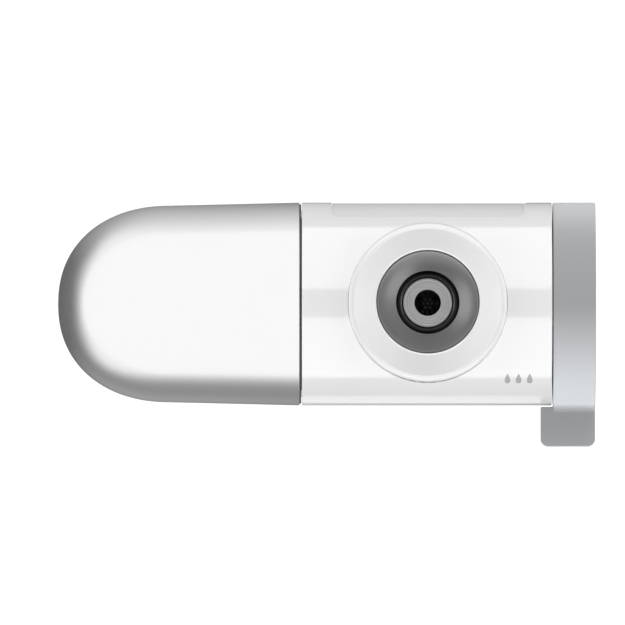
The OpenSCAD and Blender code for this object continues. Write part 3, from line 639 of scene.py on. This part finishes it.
def ribTree(sides):  # upright ribs round the collar
    tree, start, end = newTree("gripRibs", Count="Int", Radius="Float", Rise="Float", Width="Float",
                               Length="Float", Middle="Float")
    ring = geoNode(tree, "MeshCircle", Vertices=start["Count"], Radius=start["Radius"])
    half = mathNode(tree, "DIVIDE", start["Width"], 2.0)
    bar = geoNode(tree, "MeshCylinder", Vertices=sides, Radius=half, Depth=start["Length"])
    squash = combine(tree, mathNode(tree, "DIVIDE", start["Rise"], half), 1.0, 1.0)
    flat = geoNode(tree, "Transform", Geometry=bar, Scale=squash)
    index = geoNode(tree, "InputIndex")
    angle = mathNode(tree, "DIVIDE", times(tree, index, 2 * math.pi), start["Count"])
    turn = combine(tree, 0.0, 0.0, angle)
    copies = geoNode(tree, "InstanceOnPoints", Points=ring, Instance=flat, Rotation=turn)
    lift = combine(tree, 0.0, 0.0, start["Middle"])
    return endTree(tree, start, end, geoNode(tree, "Transform", Geometry=copies, Translation=lift))


def ribPiece(s):
    length = s["ribTop"] - s["gripLow"]
    ribs = growPiece("collarRibs", ribTree(s["ribSides"]), {
        "Count": s["ribs"], "Radius": s["wallR"] * mm, "Rise": s["ribRise"] * mm, "Width": s["ribW"] * mm,
        "Length": length * mm, "Middle": (s["gripLow"] + length / 2) * mm + axisZ, "Material": whiteGloss})
    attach(ribs, "collar")


ribPiece(collarLook)

# dark funnel with the spout socket
funnelLook = {"socket": 8.85, "foot": 12.2, "flange": 16.75, "neck": 14.2, "rim": 0.25, "low": 20.7,
              "flangeLow": 25.0, "flangeTop": 27.5, "socketTop": 28.7, "top": 35.9, "edge": 0.2, "bow": 0.4,
              "wallSteps": 32, "steps": 224}


def funnelPiece(s):
    outline = [(s["socket"], s["low"]), (s["foot"], s["low"]), (s["foot"], s["flangeLow"]),
               (s["flange"], s["flangeLow"]), (s["flange"], s["flangeTop"]), (s["neck"], s["flangeTop"])]
    outline += arcPoints(s["neck"] - s["edge"], s["top"] - s["edge"], s["edge"], 0, 90, steps=5)
    mouth = s["neck"] - s["rim"]
    for i in range(s["wallSteps"] + 1):
        t = i / s["wallSteps"]
        fall = (s["socketTop"] - s["top"]) * t ** s["bow"]
        outline.append((mouth + (s["socket"] - mouth) * t, s["top"] + fall))
    funnel = spin("funnelSkin", outline, "z", steps=s["steps"])
    evenShade(funnel)
    return dress(funnel, funnelGrey, "housing", "dark_plastic", "adapter_ring")


funnelPiece(funnelLook)

# black gasket and the pale bush in it
gasketLook = {"in": 6.9, "seat": 8.85, "out": 12.2, "low": 17.2, "top": 20.7, "bead": 0.45, "steps": 160}


def gasketPiece(s):
    half = (s["seat"] - s["in"]) / 2
    ballR = (half ** 2 + s["bead"] ** 2) / (2 * s["bead"])  # radius of the bead that stands in the socket
    reach = math.degrees(math.asin(half / ballR))
    outline = [(s["in"], s["low"]), (s["out"], s["low"]), (s["out"], s["top"]), (s["seat"], s["top"])]
    outline += arcPoints(s["in"] + half, s["top"] - ballR, ballR, 90 - reach, 90 + reach, steps=14)
    gasket = spin("gasketSkin", outline, "z", steps=s["steps"])
    evenShade(gasket)
    return dress(gasket, sealBlack, "housing", "black_rubber", "inlet_gasket")


gasketPiece(gasketLook)

bushLook = {"r": 6.85, "hole": 3.67, "stem": 4.95, "low": 11.09, "shelf": 17.2, "face": 20.9, "edge": 0.25,
            "grooves": (4.55, 5.25, 5.95), "grooveW": 0.14, "grooveD": 0.08, "steps": 160}


def bushPiece(s):
    outline = [(s["hole"], s["low"]), (s["stem"], s["low"]), (s["stem"], s["shelf"]), (s["r"], s["shelf"])]
    outline += arcPoints(s["r"] - s["edge"], s["face"] - s["edge"], s["edge"], 0, 90, steps=6)
    for r in s["grooves"][::-1]:
        w = s["grooveW"]
        outline += [(r + w, s["face"]), (r, s["face"] - s["grooveD"]), (r - w, s["face"])]
    outline += arcPoints(s["hole"] + s["edge"], s["face"] - s["edge"], s["edge"], 90, 180, steps=6)
    bush = spin("paleBushSkin", outline, "z", steps=s["steps"])
    evenShade(bush)
    return dress(bush, paleBush, "housing", "pale_plastic", "inlet_insert")


bushPiece(bushLook)
print("collar, funnel and inlet made")

# lever ring with its tab
leverLook = {"r": bodyR, "in": 26.0, "x0": 35.05, "x1": 46.95, "edge": 0.4, "lip": 0.2, "web": (40.65, 42.65),
             "hub": 8.5, "hubX": 35.9, "drive": 7.1, "driveX": (35.6, 40.65), "screwHole": 1.75,
             "tabX": (31.7, 46.9), "tabGap": 28.85, "tabEnd": 39.99, "tabT": 5.0, "tabRoot": 1.3,
             "tabStep": 0.05, "tabEdge": 0.3, "corner": 2.1, "soft": 0.45, "fillet": 2.8, "filletIn": 0.1,
             "filletOver": 0.02, "filletRoot": 1.2, "filletLow": 1.2, "steps": 288, "sharp": 32}


def filletOutline(s, side):  # concave corner between the ring and one face of the tab
    level = s["tabT"] / 2 + s["fillet"]
    far, root = s["r"] + s["fillet"], s["r"] - s["filletRoot"]
    out = math.sqrt(far ** 2 - level ** 2)
    start = math.degrees(math.atan2(-level, out))
    outline = arcPoints(-out, level, s["fillet"] + s["filletOver"], -90, start, steps=10)
    outline += [(-root * out / far, root * level / far), (-root, s["filletLow"]), (-out, s["filletLow"])]
    return [(y, h * side) for y, h in outline]


def leverTab(s):
    x0, x1 = s["tabX"]
    step, root = s["x0"] + s["tabStep"], -s["r"] + s["tabRoot"]  # the tab starts inside the ring
    outline = roundOutline([
        (x0, -s["tabGap"], s["tabEdge"]), (x0, -s["tabEnd"], s["corner"]), (x1, -s["tabEnd"], s["corner"]),
        (x1, root, 0), (step, root, 0), (step, -s["tabGap"], 0)], steps=10)
    return softenEdges(prism("tab", outline, (-s["tabT"] / 2, s["tabT"] / 2), asDrawn), s["soft"])


def leverPiece(s):
    webLow, webTop = s["web"]
    lever = spin("leverSkin", roundOutline([
        (s["screwHole"], s["hubX"], 0), (s["hub"], s["hubX"], 0), (s["hub"], webLow, 0), (s["in"], webLow, 0),
        (s["in"], s["x0"], 0), (s["r"], s["x0"], s["edge"]), (s["r"], s["x1"], s["edge"]),
        (s["in"], s["x1"], s["lip"]), (s["in"], webTop, 0), (s["screwHole"], webTop, 0)]), steps=s["steps"])
    added = [leverTab(s)]
    reach = (s["x0"] + s["filletIn"], s["x1"] - s["filletIn"])
    for side in (1, -1):
        fillet = prism("fillet", filletOutline(s, side), reach, acrossBody)
        added.append(softenEdges(fillet, s["edge"]))
    carve(lever, added, "UNION")
    half = s["drive"] / 2
    square = [(-half, -half), (half, -half), (half, half), (-half, half)]
    carve(lever, [prism("socket", square, s["driveX"], acrossBody)])
    sharpen(lever, s["sharp"])
    evenShade(lever)
    trueRound(lever, [("x", s["r"], 1), ("x", s["in"], -1)])
    return dress(lever, leverSilver, "lever", "silver_finish", "selector_lever")


leverPiece(leverLook)

capLook = {"r": 25.9, "x0": 42.65, "face": 46.8, "t": 1.7, "skirt": 1.5, "edge": 0.35, "inEdge": 0.4,
           "steps": 224}


def capPiece(s):
    back, inner = s["face"] - s["t"], s["r"] - s["skirt"]
    cap = spin("leverCapSkin", roundOutline([
        (0, back, 0), (inner, back, s["inEdge"]), (inner, s["x0"], 0), (s["r"], s["x0"], 0),
        (s["r"], s["face"], s["edge"]), (0, s["face"], 0)]), steps=s["steps"])
    evenShade(cap)
    return dress(cap, leverSilver, "lever", "silver_finish", "lever_cap")


capPiece(capLook)
print("lever made")

# outlets under the body
nozzleLook = {"x": -22.2, "r": 4.4, "bore": 2.6, "low": -41.0, "top": -32.8, "tip": 0.6, "boreEdge": 0.25,
              "topEdge": 0.1, "steps": 128}


def nozzlePiece(s):
    nozzle = spin("nozzleSkin", roundOutline([
        (s["bore"], s["low"], s["boreEdge"]), (s["r"], s["low"], s["tip"]), (s["r"], s["top"], s["topEdge"]),
        (s["bore"], s["top"], 0)]), "z", s["x"], steps=s["steps"])
    evenShade(nozzle)
    return dress(nozzle, brightSteel, "housing", "steel", "purified_nozzle")


nozzlePiece(nozzleLook)

sprayLook = {"x": 3.7, "face": -36.5, "step": 9.3 / 3.9, "rings": 3, "perRing": 7, "hole": 0.55, "rim": 0.16,
             "loopSides": 18, "beadSides": 8}


def sprayTree(s):  # a raised rim round each hole of the shower plate
    tree, start, end = newTree("sprayRims", Step="Float", PerRing="Int", Hole="Float", Rim="Float",
                               Place="Vector")
    loop = geoNode(tree, "CurvePrimitiveCircle", Resolution=s["loopSides"],
                   Radius=addUp(tree, start["Hole"], start["Rim"]))
    bead = geoNode(tree, "CurvePrimitiveCircle", Resolution=s["beadSides"], Radius=start["Rim"])
    rim = geoNode(tree, "CurveToMesh", Curve=loop, Profile_Curve=bead)
    gather = tree.nodes.new("GeometryNodeJoinGeometry")
    for ring in range(1, s["rings"] + 1):
        row = geoNode(tree, "MeshCircle", Vertices=times(tree, start["PerRing"], ring),
                      Radius=times(tree, start["Step"], ring))
        tree.links.new(geoNode(tree, "InstanceOnPoints", Points=row, Instance=rim), gather.inputs[0])
    move = geoNode(tree, "Transform", Geometry=gather.outputs[0], Translation=start["Place"])
    return endTree(tree, start, end, move)


def sprayPiece(s):
    rims = growPiece("sprayRims", sprayTree(s), {
        "Step": s["step"] * mm, "PerRing": s["perRing"], "Hole": s["hole"] * mm, "Rim": s["rim"] * mm,
        "Place": (s["x"] * mm, 0.0, s["face"] * mm + axisZ), "Material": brightSteel})
    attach(rims, "housing")


sprayPiece(sprayLook)

threadLook = {"r": 24.17, "x0": -36.6, "turns": 3.0, "pitch": 3.0, "rise": 0.2, "steps": 96, "beadSides": 10}


def threadTree(sides):  # one ridge that winds round the cartridge neck
    tree, start, end = newTree("neckThread", Radius="Float", Turns="Float", Length="Float", Rise="Float",
                               Steps="Int", Place="Vector")
    coil = geoNode(tree, "CurveSpiral", Resolution=start["Steps"], Rotations=start["Turns"],
                   Start_Radius=start["Radius"], End_Radius=start["Radius"], Height=start["Length"])
    bead = geoNode(tree, "CurvePrimitiveCircle", Resolution=sides, Radius=start["Rise"])
    ridge = geoNode(tree, "CurveToMesh", Curve=coil, Profile_Curve=bead, Fill_Caps=True)
    lay = geoNode(tree, "Transform", Geometry=ridge, Translation=start["Place"],
                  Rotation=(0.0, -math.pi / 2, 0.0))
    return endTree(tree, start, end, lay)


def threadPiece(s):
    thread = growPiece("neckThread", threadTree(s["beadSides"]), {
        "Radius": s["r"] * mm, "Turns": s["turns"], "Length": s["turns"] * s["pitch"] * mm,
        "Rise": s["rise"] * mm, "Steps": s["steps"], "Place": (s["x0"] * mm, 0.0, axisZ),
        "Material": chassisGrey})
    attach(thread, "housing")


threadPiece(threadLook)
print("outlets and thread made")

# three plain drops printed on the body
dropLook = {"x": (22.3, 25.4, 28.5), "y": -21.1, "height": 2.7, "width": 1.8, "taper": 1.4, "swell": 1.25,
            "proud": 0.015, "sunk": 0.1, "r": bodyR, "rows": 24, "weld": 1e-7}


def dropPiece(s):
    bm = bmesh.new()
    for x in s["x"]:
        before = None
        for i in range(s["rows"] + 1):
            t = math.pi * i / s["rows"]
            half = s["width"] / 2 * math.sin(t) * math.sin(t / 2) ** s["taper"] * s["swell"]
            y = s["y"] + s["height"] / 2 * math.cos(t)
            row = []
            for k, lift in ((-half, s["proud"]), (half, s["proud"]), (half, -s["sunk"]), (-half, -s["sunk"])):
                h = math.sqrt((s["r"] + lift) ** 2 - y ** 2)
                row.append(bm.verts.new(Vector((x + k, y, h)) * mm + Vector((0, 0, axisZ))))
            for k in range(len(row) if before else 0):
                n = (k + 1) % len(row)
                bm.faces.new((before[k], before[n], row[n], row[k]))
            before = row
    bmesh.ops.remove_doubles(bm, verts=bm.verts, dist=s["weld"])
    bmesh.ops.dissolve_degenerate(bm, edges=bm.edges, dist=s["weld"])
    bmesh.ops.recalc_face_normals(bm, faces=bm.faces)
    drop = makeObject("dropMarks", bm)
    return dress(drop, printGrey, "housing", "dark_plastic")


dropPiece(dropLook)

# finishes on the CAD pieces that keep their own shape
keptFinish = {
    chassisWhite: ("cover_liner", "cartridge_base", "cartridge_case", "core_tube"),
    chassisGrey: ("water_manifold", "valve_liner"),
    brightSteel: ("shower_plate", "lever_screw", "housing_screws"),
    # painted shade: the strainer and the brass behind it are darkened so the inlet hole reads dark
    paintedShadeScreen: ("inlet_strainer",),
    brassWithPaintedShade: ("valve_gland", "valve_spindle"),
    rubberBlack: ("spindle_o_rings", "outlet_seal", "nozzle_seal", "cover_seal", "cartridge_o_rings"),
    paleBush: ("slip_washer",),
    filterFleece: ("fleece_wrap",),
    pressedCarbon: ("carbon_block",),
    whiteGloss: ("outlet_housing",),
}
for material, names in keptFinish.items():
    for name in names:
        nodes[name].data.materials.clear()
        nodes[name].data.materials.append(material)
print("kept pieces finished")

# studio: softboxes, soft fills, lamps for single pieces, white surround, floor, a card for reflections
studioLook = {"boxNear": (0.276, 0.96), "boxFar": {1: (0.996, -0.1), -1: (0.996, -0.04)}, "boxLength": 1.4,
              "centreX": -0.035, "boxLevel": 3.3, "world": 0.72}  # a box's edges are given as (y, z)


def panelLight(name, place, size, level, across=(1, 0, 0), diffuse=True, glossy=True, tint=(1, 1, 1)):
    light = bpy.data.lights.new(name, "AREA")
    light.shape = "RECTANGLE"
    light.size, light.size_y = size
    light.energy = level * math.pi * size[0] * size[1]  # level is its radiance
    light.color = tint
    obj = bpy.data.objects.new(name, light)
    obj.location = Vector((studioLook["centreX"], 0, axisZ)) + Vector(place)
    back = Vector(place).normalized()
    side = Vector(across)
    side = (side - back * side.dot(back)).normalized()
    obj.rotation_mode = "QUATERNION"
    obj.rotation_quaternion = Matrix((side, back.cross(side), back)).transposed().to_quaternion()
    obj.visible_camera = False
    obj.visible_diffuse = diffuse
    obj.visible_glossy = glossy
    scene.collection.objects.link(obj)
    return obj


def linkTo(light, names, state):  # which pieces a lamp reaches, or which it spares
    group = bpy.data.collections.new(light.name + "Reach")
    for name in names:
        group.objects.link(scene.objects[name])
    light.light_linking.receiver_collection = group
    for item in group.collection_objects:
        item.light_linking.link_state = state


leverPieces = ("leverSkin", "leverCapSkin")
silverPieces = leverPieces + ("domeSkin",)
for name, side in (("softBoxRear", 1), ("softBoxFront", -1)):
    (y0, z0), (y1, z1) = studioLook["boxNear"], studioLook["boxFar"][side]
    place = (0, side * (y0 + y1) / 2, (z0 + z1) / 2)
    size = (studioLook["boxLength"], math.hypot(y1 - y0, z1 - z0))
    box = panelLight(name, place, size, studioLook["boxLevel"], diffuse=False)
    linkTo(box, silverPieces + ("funnelSkin",), "EXCLUDE")

stripLook = {"place": (0.035, -0.122, -0.119), "size": (0.5, 0.075), "level": 0.85}
linkTo(panelLight("edgeStrip", **stripLook), silverPieces, "EXCLUDE")

fillLook = {"fillRight": {"place": (0.9, 0, 0.42), "size": (0.6, 0.6), "level": 2.7, "across": (0, 1, 0)},
            "fillFront": {"place": (0, -0.95, -0.1), "size": (0.7, 0.5), "level": 2.2},
            "fillRear": {"place": (0, 0.95, -0.1), "size": (0.7, 0.5), "level": 1.8},
            "fillLeft": {"place": (-0.9, 0, 0.42), "size": (0.6, 0.6), "level": 2.7, "across": (0, 1, 0)}}
fillSpares = {"fillRight": leverPieces, "fillFront": ("collarSkin",),
              "fillRear": ("collarSkin",) + leverPieces, "fillLeft": leverPieces}
for name, values in fillLook.items():
    linkTo(panelLight(name, **values, glossy=False), fillSpares[name], "EXCLUDE")

# lamps that reach one piece of the inlet, turned round the inlet's axis in degrees
inletLight = {
    "seat": {"piece": "gasketSkin", "turns": (0, 180), "reach": 0.6, "rise": 0.62, "size": (0.34, 0.3),
             "level": 30.0, "diffuse": True, "glossy": True},
    "funnelSide": {"piece": "funnelSkin", "turns": (0, 180), "reach": 0.9, "rise": 0.42, "size": (0.34, 0.3),
                   "level": 2.0, "diffuse": True, "glossy": False},
    "funnelFront": {"piece": "funnelSkin", "turns": (-90,), "reach": 0.97, "rise": 0.15, "size": (0.34, 0.3),
                    "level": 66.0, "diffuse": True, "glossy": False},
    "funnelRear": {"piece": "funnelSkin", "turns": (90,), "reach": 0.97, "rise": 0.15, "size": (0.34, 0.3),
                   "level": 20.0, "diffuse": True, "glossy": False},
    "funnelShine": {"piece": "funnelSkin", "turns": (-34, 177), "reach": 0.95, "rise": 0.35,
                    "size": (1.0, 0.5), "level": 9.0, "diffuse": False, "glossy": True}}
for name, values in inletLight.items():
    for turn in values["turns"]:
        away = Vector((math.cos(math.radians(turn)), math.sin(math.radians(turn)), 0))
        place = away * values["reach"] + Vector((-studioLook["centreX"], 0, values["rise"]))
        lamp = panelLight(name, place, values["size"], values["level"], (-away.y, away.x, 0),
                          values["diffuse"], values["glossy"])
        linkTo(lamp, (values["piece"],), "INCLUDE")

leverLight = {"leverFront": {"place": (0.076, -1.0, -0.02), "size": (0.7, 0.2), "level": 46.0,
                             "tint": (0.95, 0.98, 1.0)},
              "leverHigh": {"place": (0.076, 0.71, 0.71), "size": (0.5, 0.3), "level": 6.5},
              "leverRear": {"place": (0.076, 0.2, -0.11), "size": (0.3, 0.14), "level": 6.2}}
for name, values in leverLight.items():
    linkTo(panelLight(name, **values, glossy=False), leverPieces, "INCLUDE")

world = bpy.data.worlds.new("surround")
scene.world = world
world.use_nodes = True
tree = world.node_tree
rays = tree.nodes.new("ShaderNodeLightPath").outputs
seen = mathNode(tree, "MAXIMUM", rays["Is Camera Ray"], rays["Is Glossy Ray"])
seen = mathNode(tree, "MAXIMUM", seen, rays["Is Transmission Ray"])
level = addUp(tree, times(tree, seen, 1.0 - studioLook["world"]), studioLook["world"])  # full where seen
tree.nodes["Background"].inputs["Color"].default_value = white
tree.links.new(level, tree.nodes["Background"].inputs["Strength"])


def sheet(name, half, z, material):
    bm = bmesh.new()
    corners = ((-half, -half), (half, -half), (half, half), (-half, half))
    bm.faces.new([bm.verts.new((x, y, z)) for x, y in corners])
    obj = makeObject(name, bm)
    obj.data.materials.append(material)
    return obj


def glowSurface(name, tone):  # matt, with a white glow whose strength is set apart
    material, tree, shader = newSurface(name)
    shader["Base Color"].default_value = grey(tone)
    shader["Roughness"].default_value = 1.0
    shader["Specular IOR Level"].default_value = 0.0
    shader["Emission Color"].default_value = white
    return material, tree, shader


floorLook = {"drop": 0.12, "half": 3.0, "glow": 0.6, "tone": 0.5}
floorZ = cadBox[0].z - floorLook["drop"]


def floorPiece(s):  # clear from below
    material, tree, shader = glowSurface("paleFloor", s["tone"])
    rays = tree.nodes.new("ShaderNodeLightPath").outputs
    tree.links.new(times(tree, rays["Is Camera Ray"], s["glow"]), shader["Emission Strength"])
    clear = tree.nodes.new("ShaderNodeBsdfTransparent")
    side = tree.nodes.new("ShaderNodeNewGeometry")
    blend = tree.nodes.new("ShaderNodeMixShader")
    tree.links.new(side.outputs["Backfacing"], blend.inputs["Fac"])
    tree.links.new(tree.nodes["Principled BSDF"].outputs[0], blend.inputs[1])
    tree.links.new(clear.outputs[0], blend.inputs[2])
    tree.links.new(blend.outputs[0], tree.nodes["Material Output"].inputs["Surface"])
    floor = sheet("floor", s["half"], floorZ, material)


floorPiece(floorLook)

# the dark level near the part is painted shadow, the bright level far away is painted light of the ground
# the card's levels and its falloff from the dome's nose outwards, with what the rear, front and corners add
cardLook = {"rise": 0.012, "half": 2.4, "nose": -0.085, "nosePad": 0.05, "drop": 0.149, "bright": 0.97,
            "rearFrom": 0.6, "rearGlowFrom": 0.38, "frontFrom": 0.3, "footFrom": (0.5, 1.3),
            "dark": 0.165, "rearGlow": 0.275, "frontGlow": 0.11, "footGlow": 0.14,
            "reach": 0.172, "cornerReach": 0.11, "rearReach": 0.27, "frontReach": -0.017,
            "frontCornerReach": 0.12, "rearCornerReach": -0.05,
            "curve": 1.4, "rearCurve": -0.4, "frontCornerCurve": 1.4, "rearCornerCurve": 1.4}


def ease(tree, value, low, high=1.0):
    node = tree.nodes.new("ShaderNodeMapRange")
    node.interpolation_type = "SMOOTHSTEP"
    for label, source in (("Value", value), ("From Min", low), ("From Max", high)):
        feed(tree, node.inputs[label], source)
    return node.outputs[0]


def cardPiece(s):  # seen in reflections only: a glowing sheet with the part's painted shadow on the ground near it, and painted light of the ground far away
    material, tree, shader = glowSurface("shadeCardGrey", 0)
    split = tree.nodes.new("ShaderNodeSeparateXYZ")
    tree.links.new(objectSpot(tree), split.inputs[0])
    x, y = mathNode(tree, "SUBTRACT", split.outputs[0], s["nose"]), split.outputs[1]
    away = mathNode(tree, "SQRT", addUp(tree, times(tree, x, x), times(tree, y, y), s["nosePad"] ** 2))
    along, across = mathNode(tree, "DIVIDE", x, away), mathNode(tree, "DIVIDE", y, away)
    rear = ease(tree, across, s["rearFrom"])
    front = ease(tree, times(tree, across, -1.0), s["frontFrom"])
    slant = times(tree, times(tree, along, across), 2.0)
    corner = times(tree, slant, slant)
    rearTone = ease(tree, across, s["rearGlowFrom"])
    fall = mathNode(tree, "DIVIDE", s["drop"], away)
    shares = {"corner": corner, "rear": rear, "front": front, "rearTone": rearTone,
              "frontCorner": times(tree, corner, front), "rearCorner": times(tree, corner, rearTone),
              "foot": times(tree, ease(tree, fall, *s["footFrom"]), front)}

    def build(base, **added):  # a base value, and what each share adds to it
        return addUp(tree, *[times(tree, shares[part], s[label]) for part, label in added.items()], s[base])

    dark = build("dark", rearTone="rearGlow", front="frontGlow", foot="footGlow")
    reach = build("reach", corner="cornerReach", rear="rearReach", front="frontReach",
                  frontCorner="frontCornerReach", rearCorner="rearCornerReach")
    curve = build("curve", rear="rearCurve", frontCorner="frontCornerCurve", rearCorner="rearCornerCurve")
    steep = mathNode(tree, "POWER", mathNode(tree, "DIVIDE", fall, reach), curve)
    clear = mathNode(tree, "EXPONENT", times(tree, steep, -1.0))
    depth = mathNode(tree, "SUBTRACT", 1.0, clear)
    level = addUp(tree, times(tree, depth, mathNode(tree, "SUBTRACT", dark, s["bright"])), s["bright"])
    tree.links.new(level, shader["Emission Strength"])
    card = sheet("shadeCard", s["half"], floorZ + s["rise"], material)
    card.visible_camera = card.visible_diffuse = card.visible_shadow = card.visible_transmission = False


cardPiece(cardLook)

cameraLook = {"lens": 1600, "sensor": 36, "clip": (0.1, 40), "field": 0.175, "aim": (-0.03217, -0.00238),
              "tilt": 1.0}


def cameraPiece(s):
    data = bpy.data.cameras.new("camera")
    data.lens = s["lens"]
    data.sensor_width = s["sensor"]
    data.clip_start, data.clip_end = s["clip"]
    away = s["field"] * s["lens"] / s["sensor"]
    tilt = math.radians(s["tilt"])
    back = Vector((0, -math.sin(tilt), math.cos(tilt)))
    across = Vector((1, 0, 0))
    up = back.cross(across)
    camera = bpy.data.objects.new("camera", data)
    camera.location = Vector((*s["aim"], axisZ)) + back * away
    camera.rotation_mode = "QUATERNION"
    camera.rotation_quaternion = Matrix((across, up, back)).transposed().to_quaternion()
    scene.collection.objects.link(camera)
    scene.camera = camera


cameraPiece(cameraLook)
scene.view_settings.view_transform = "Standard"
print("studio set")
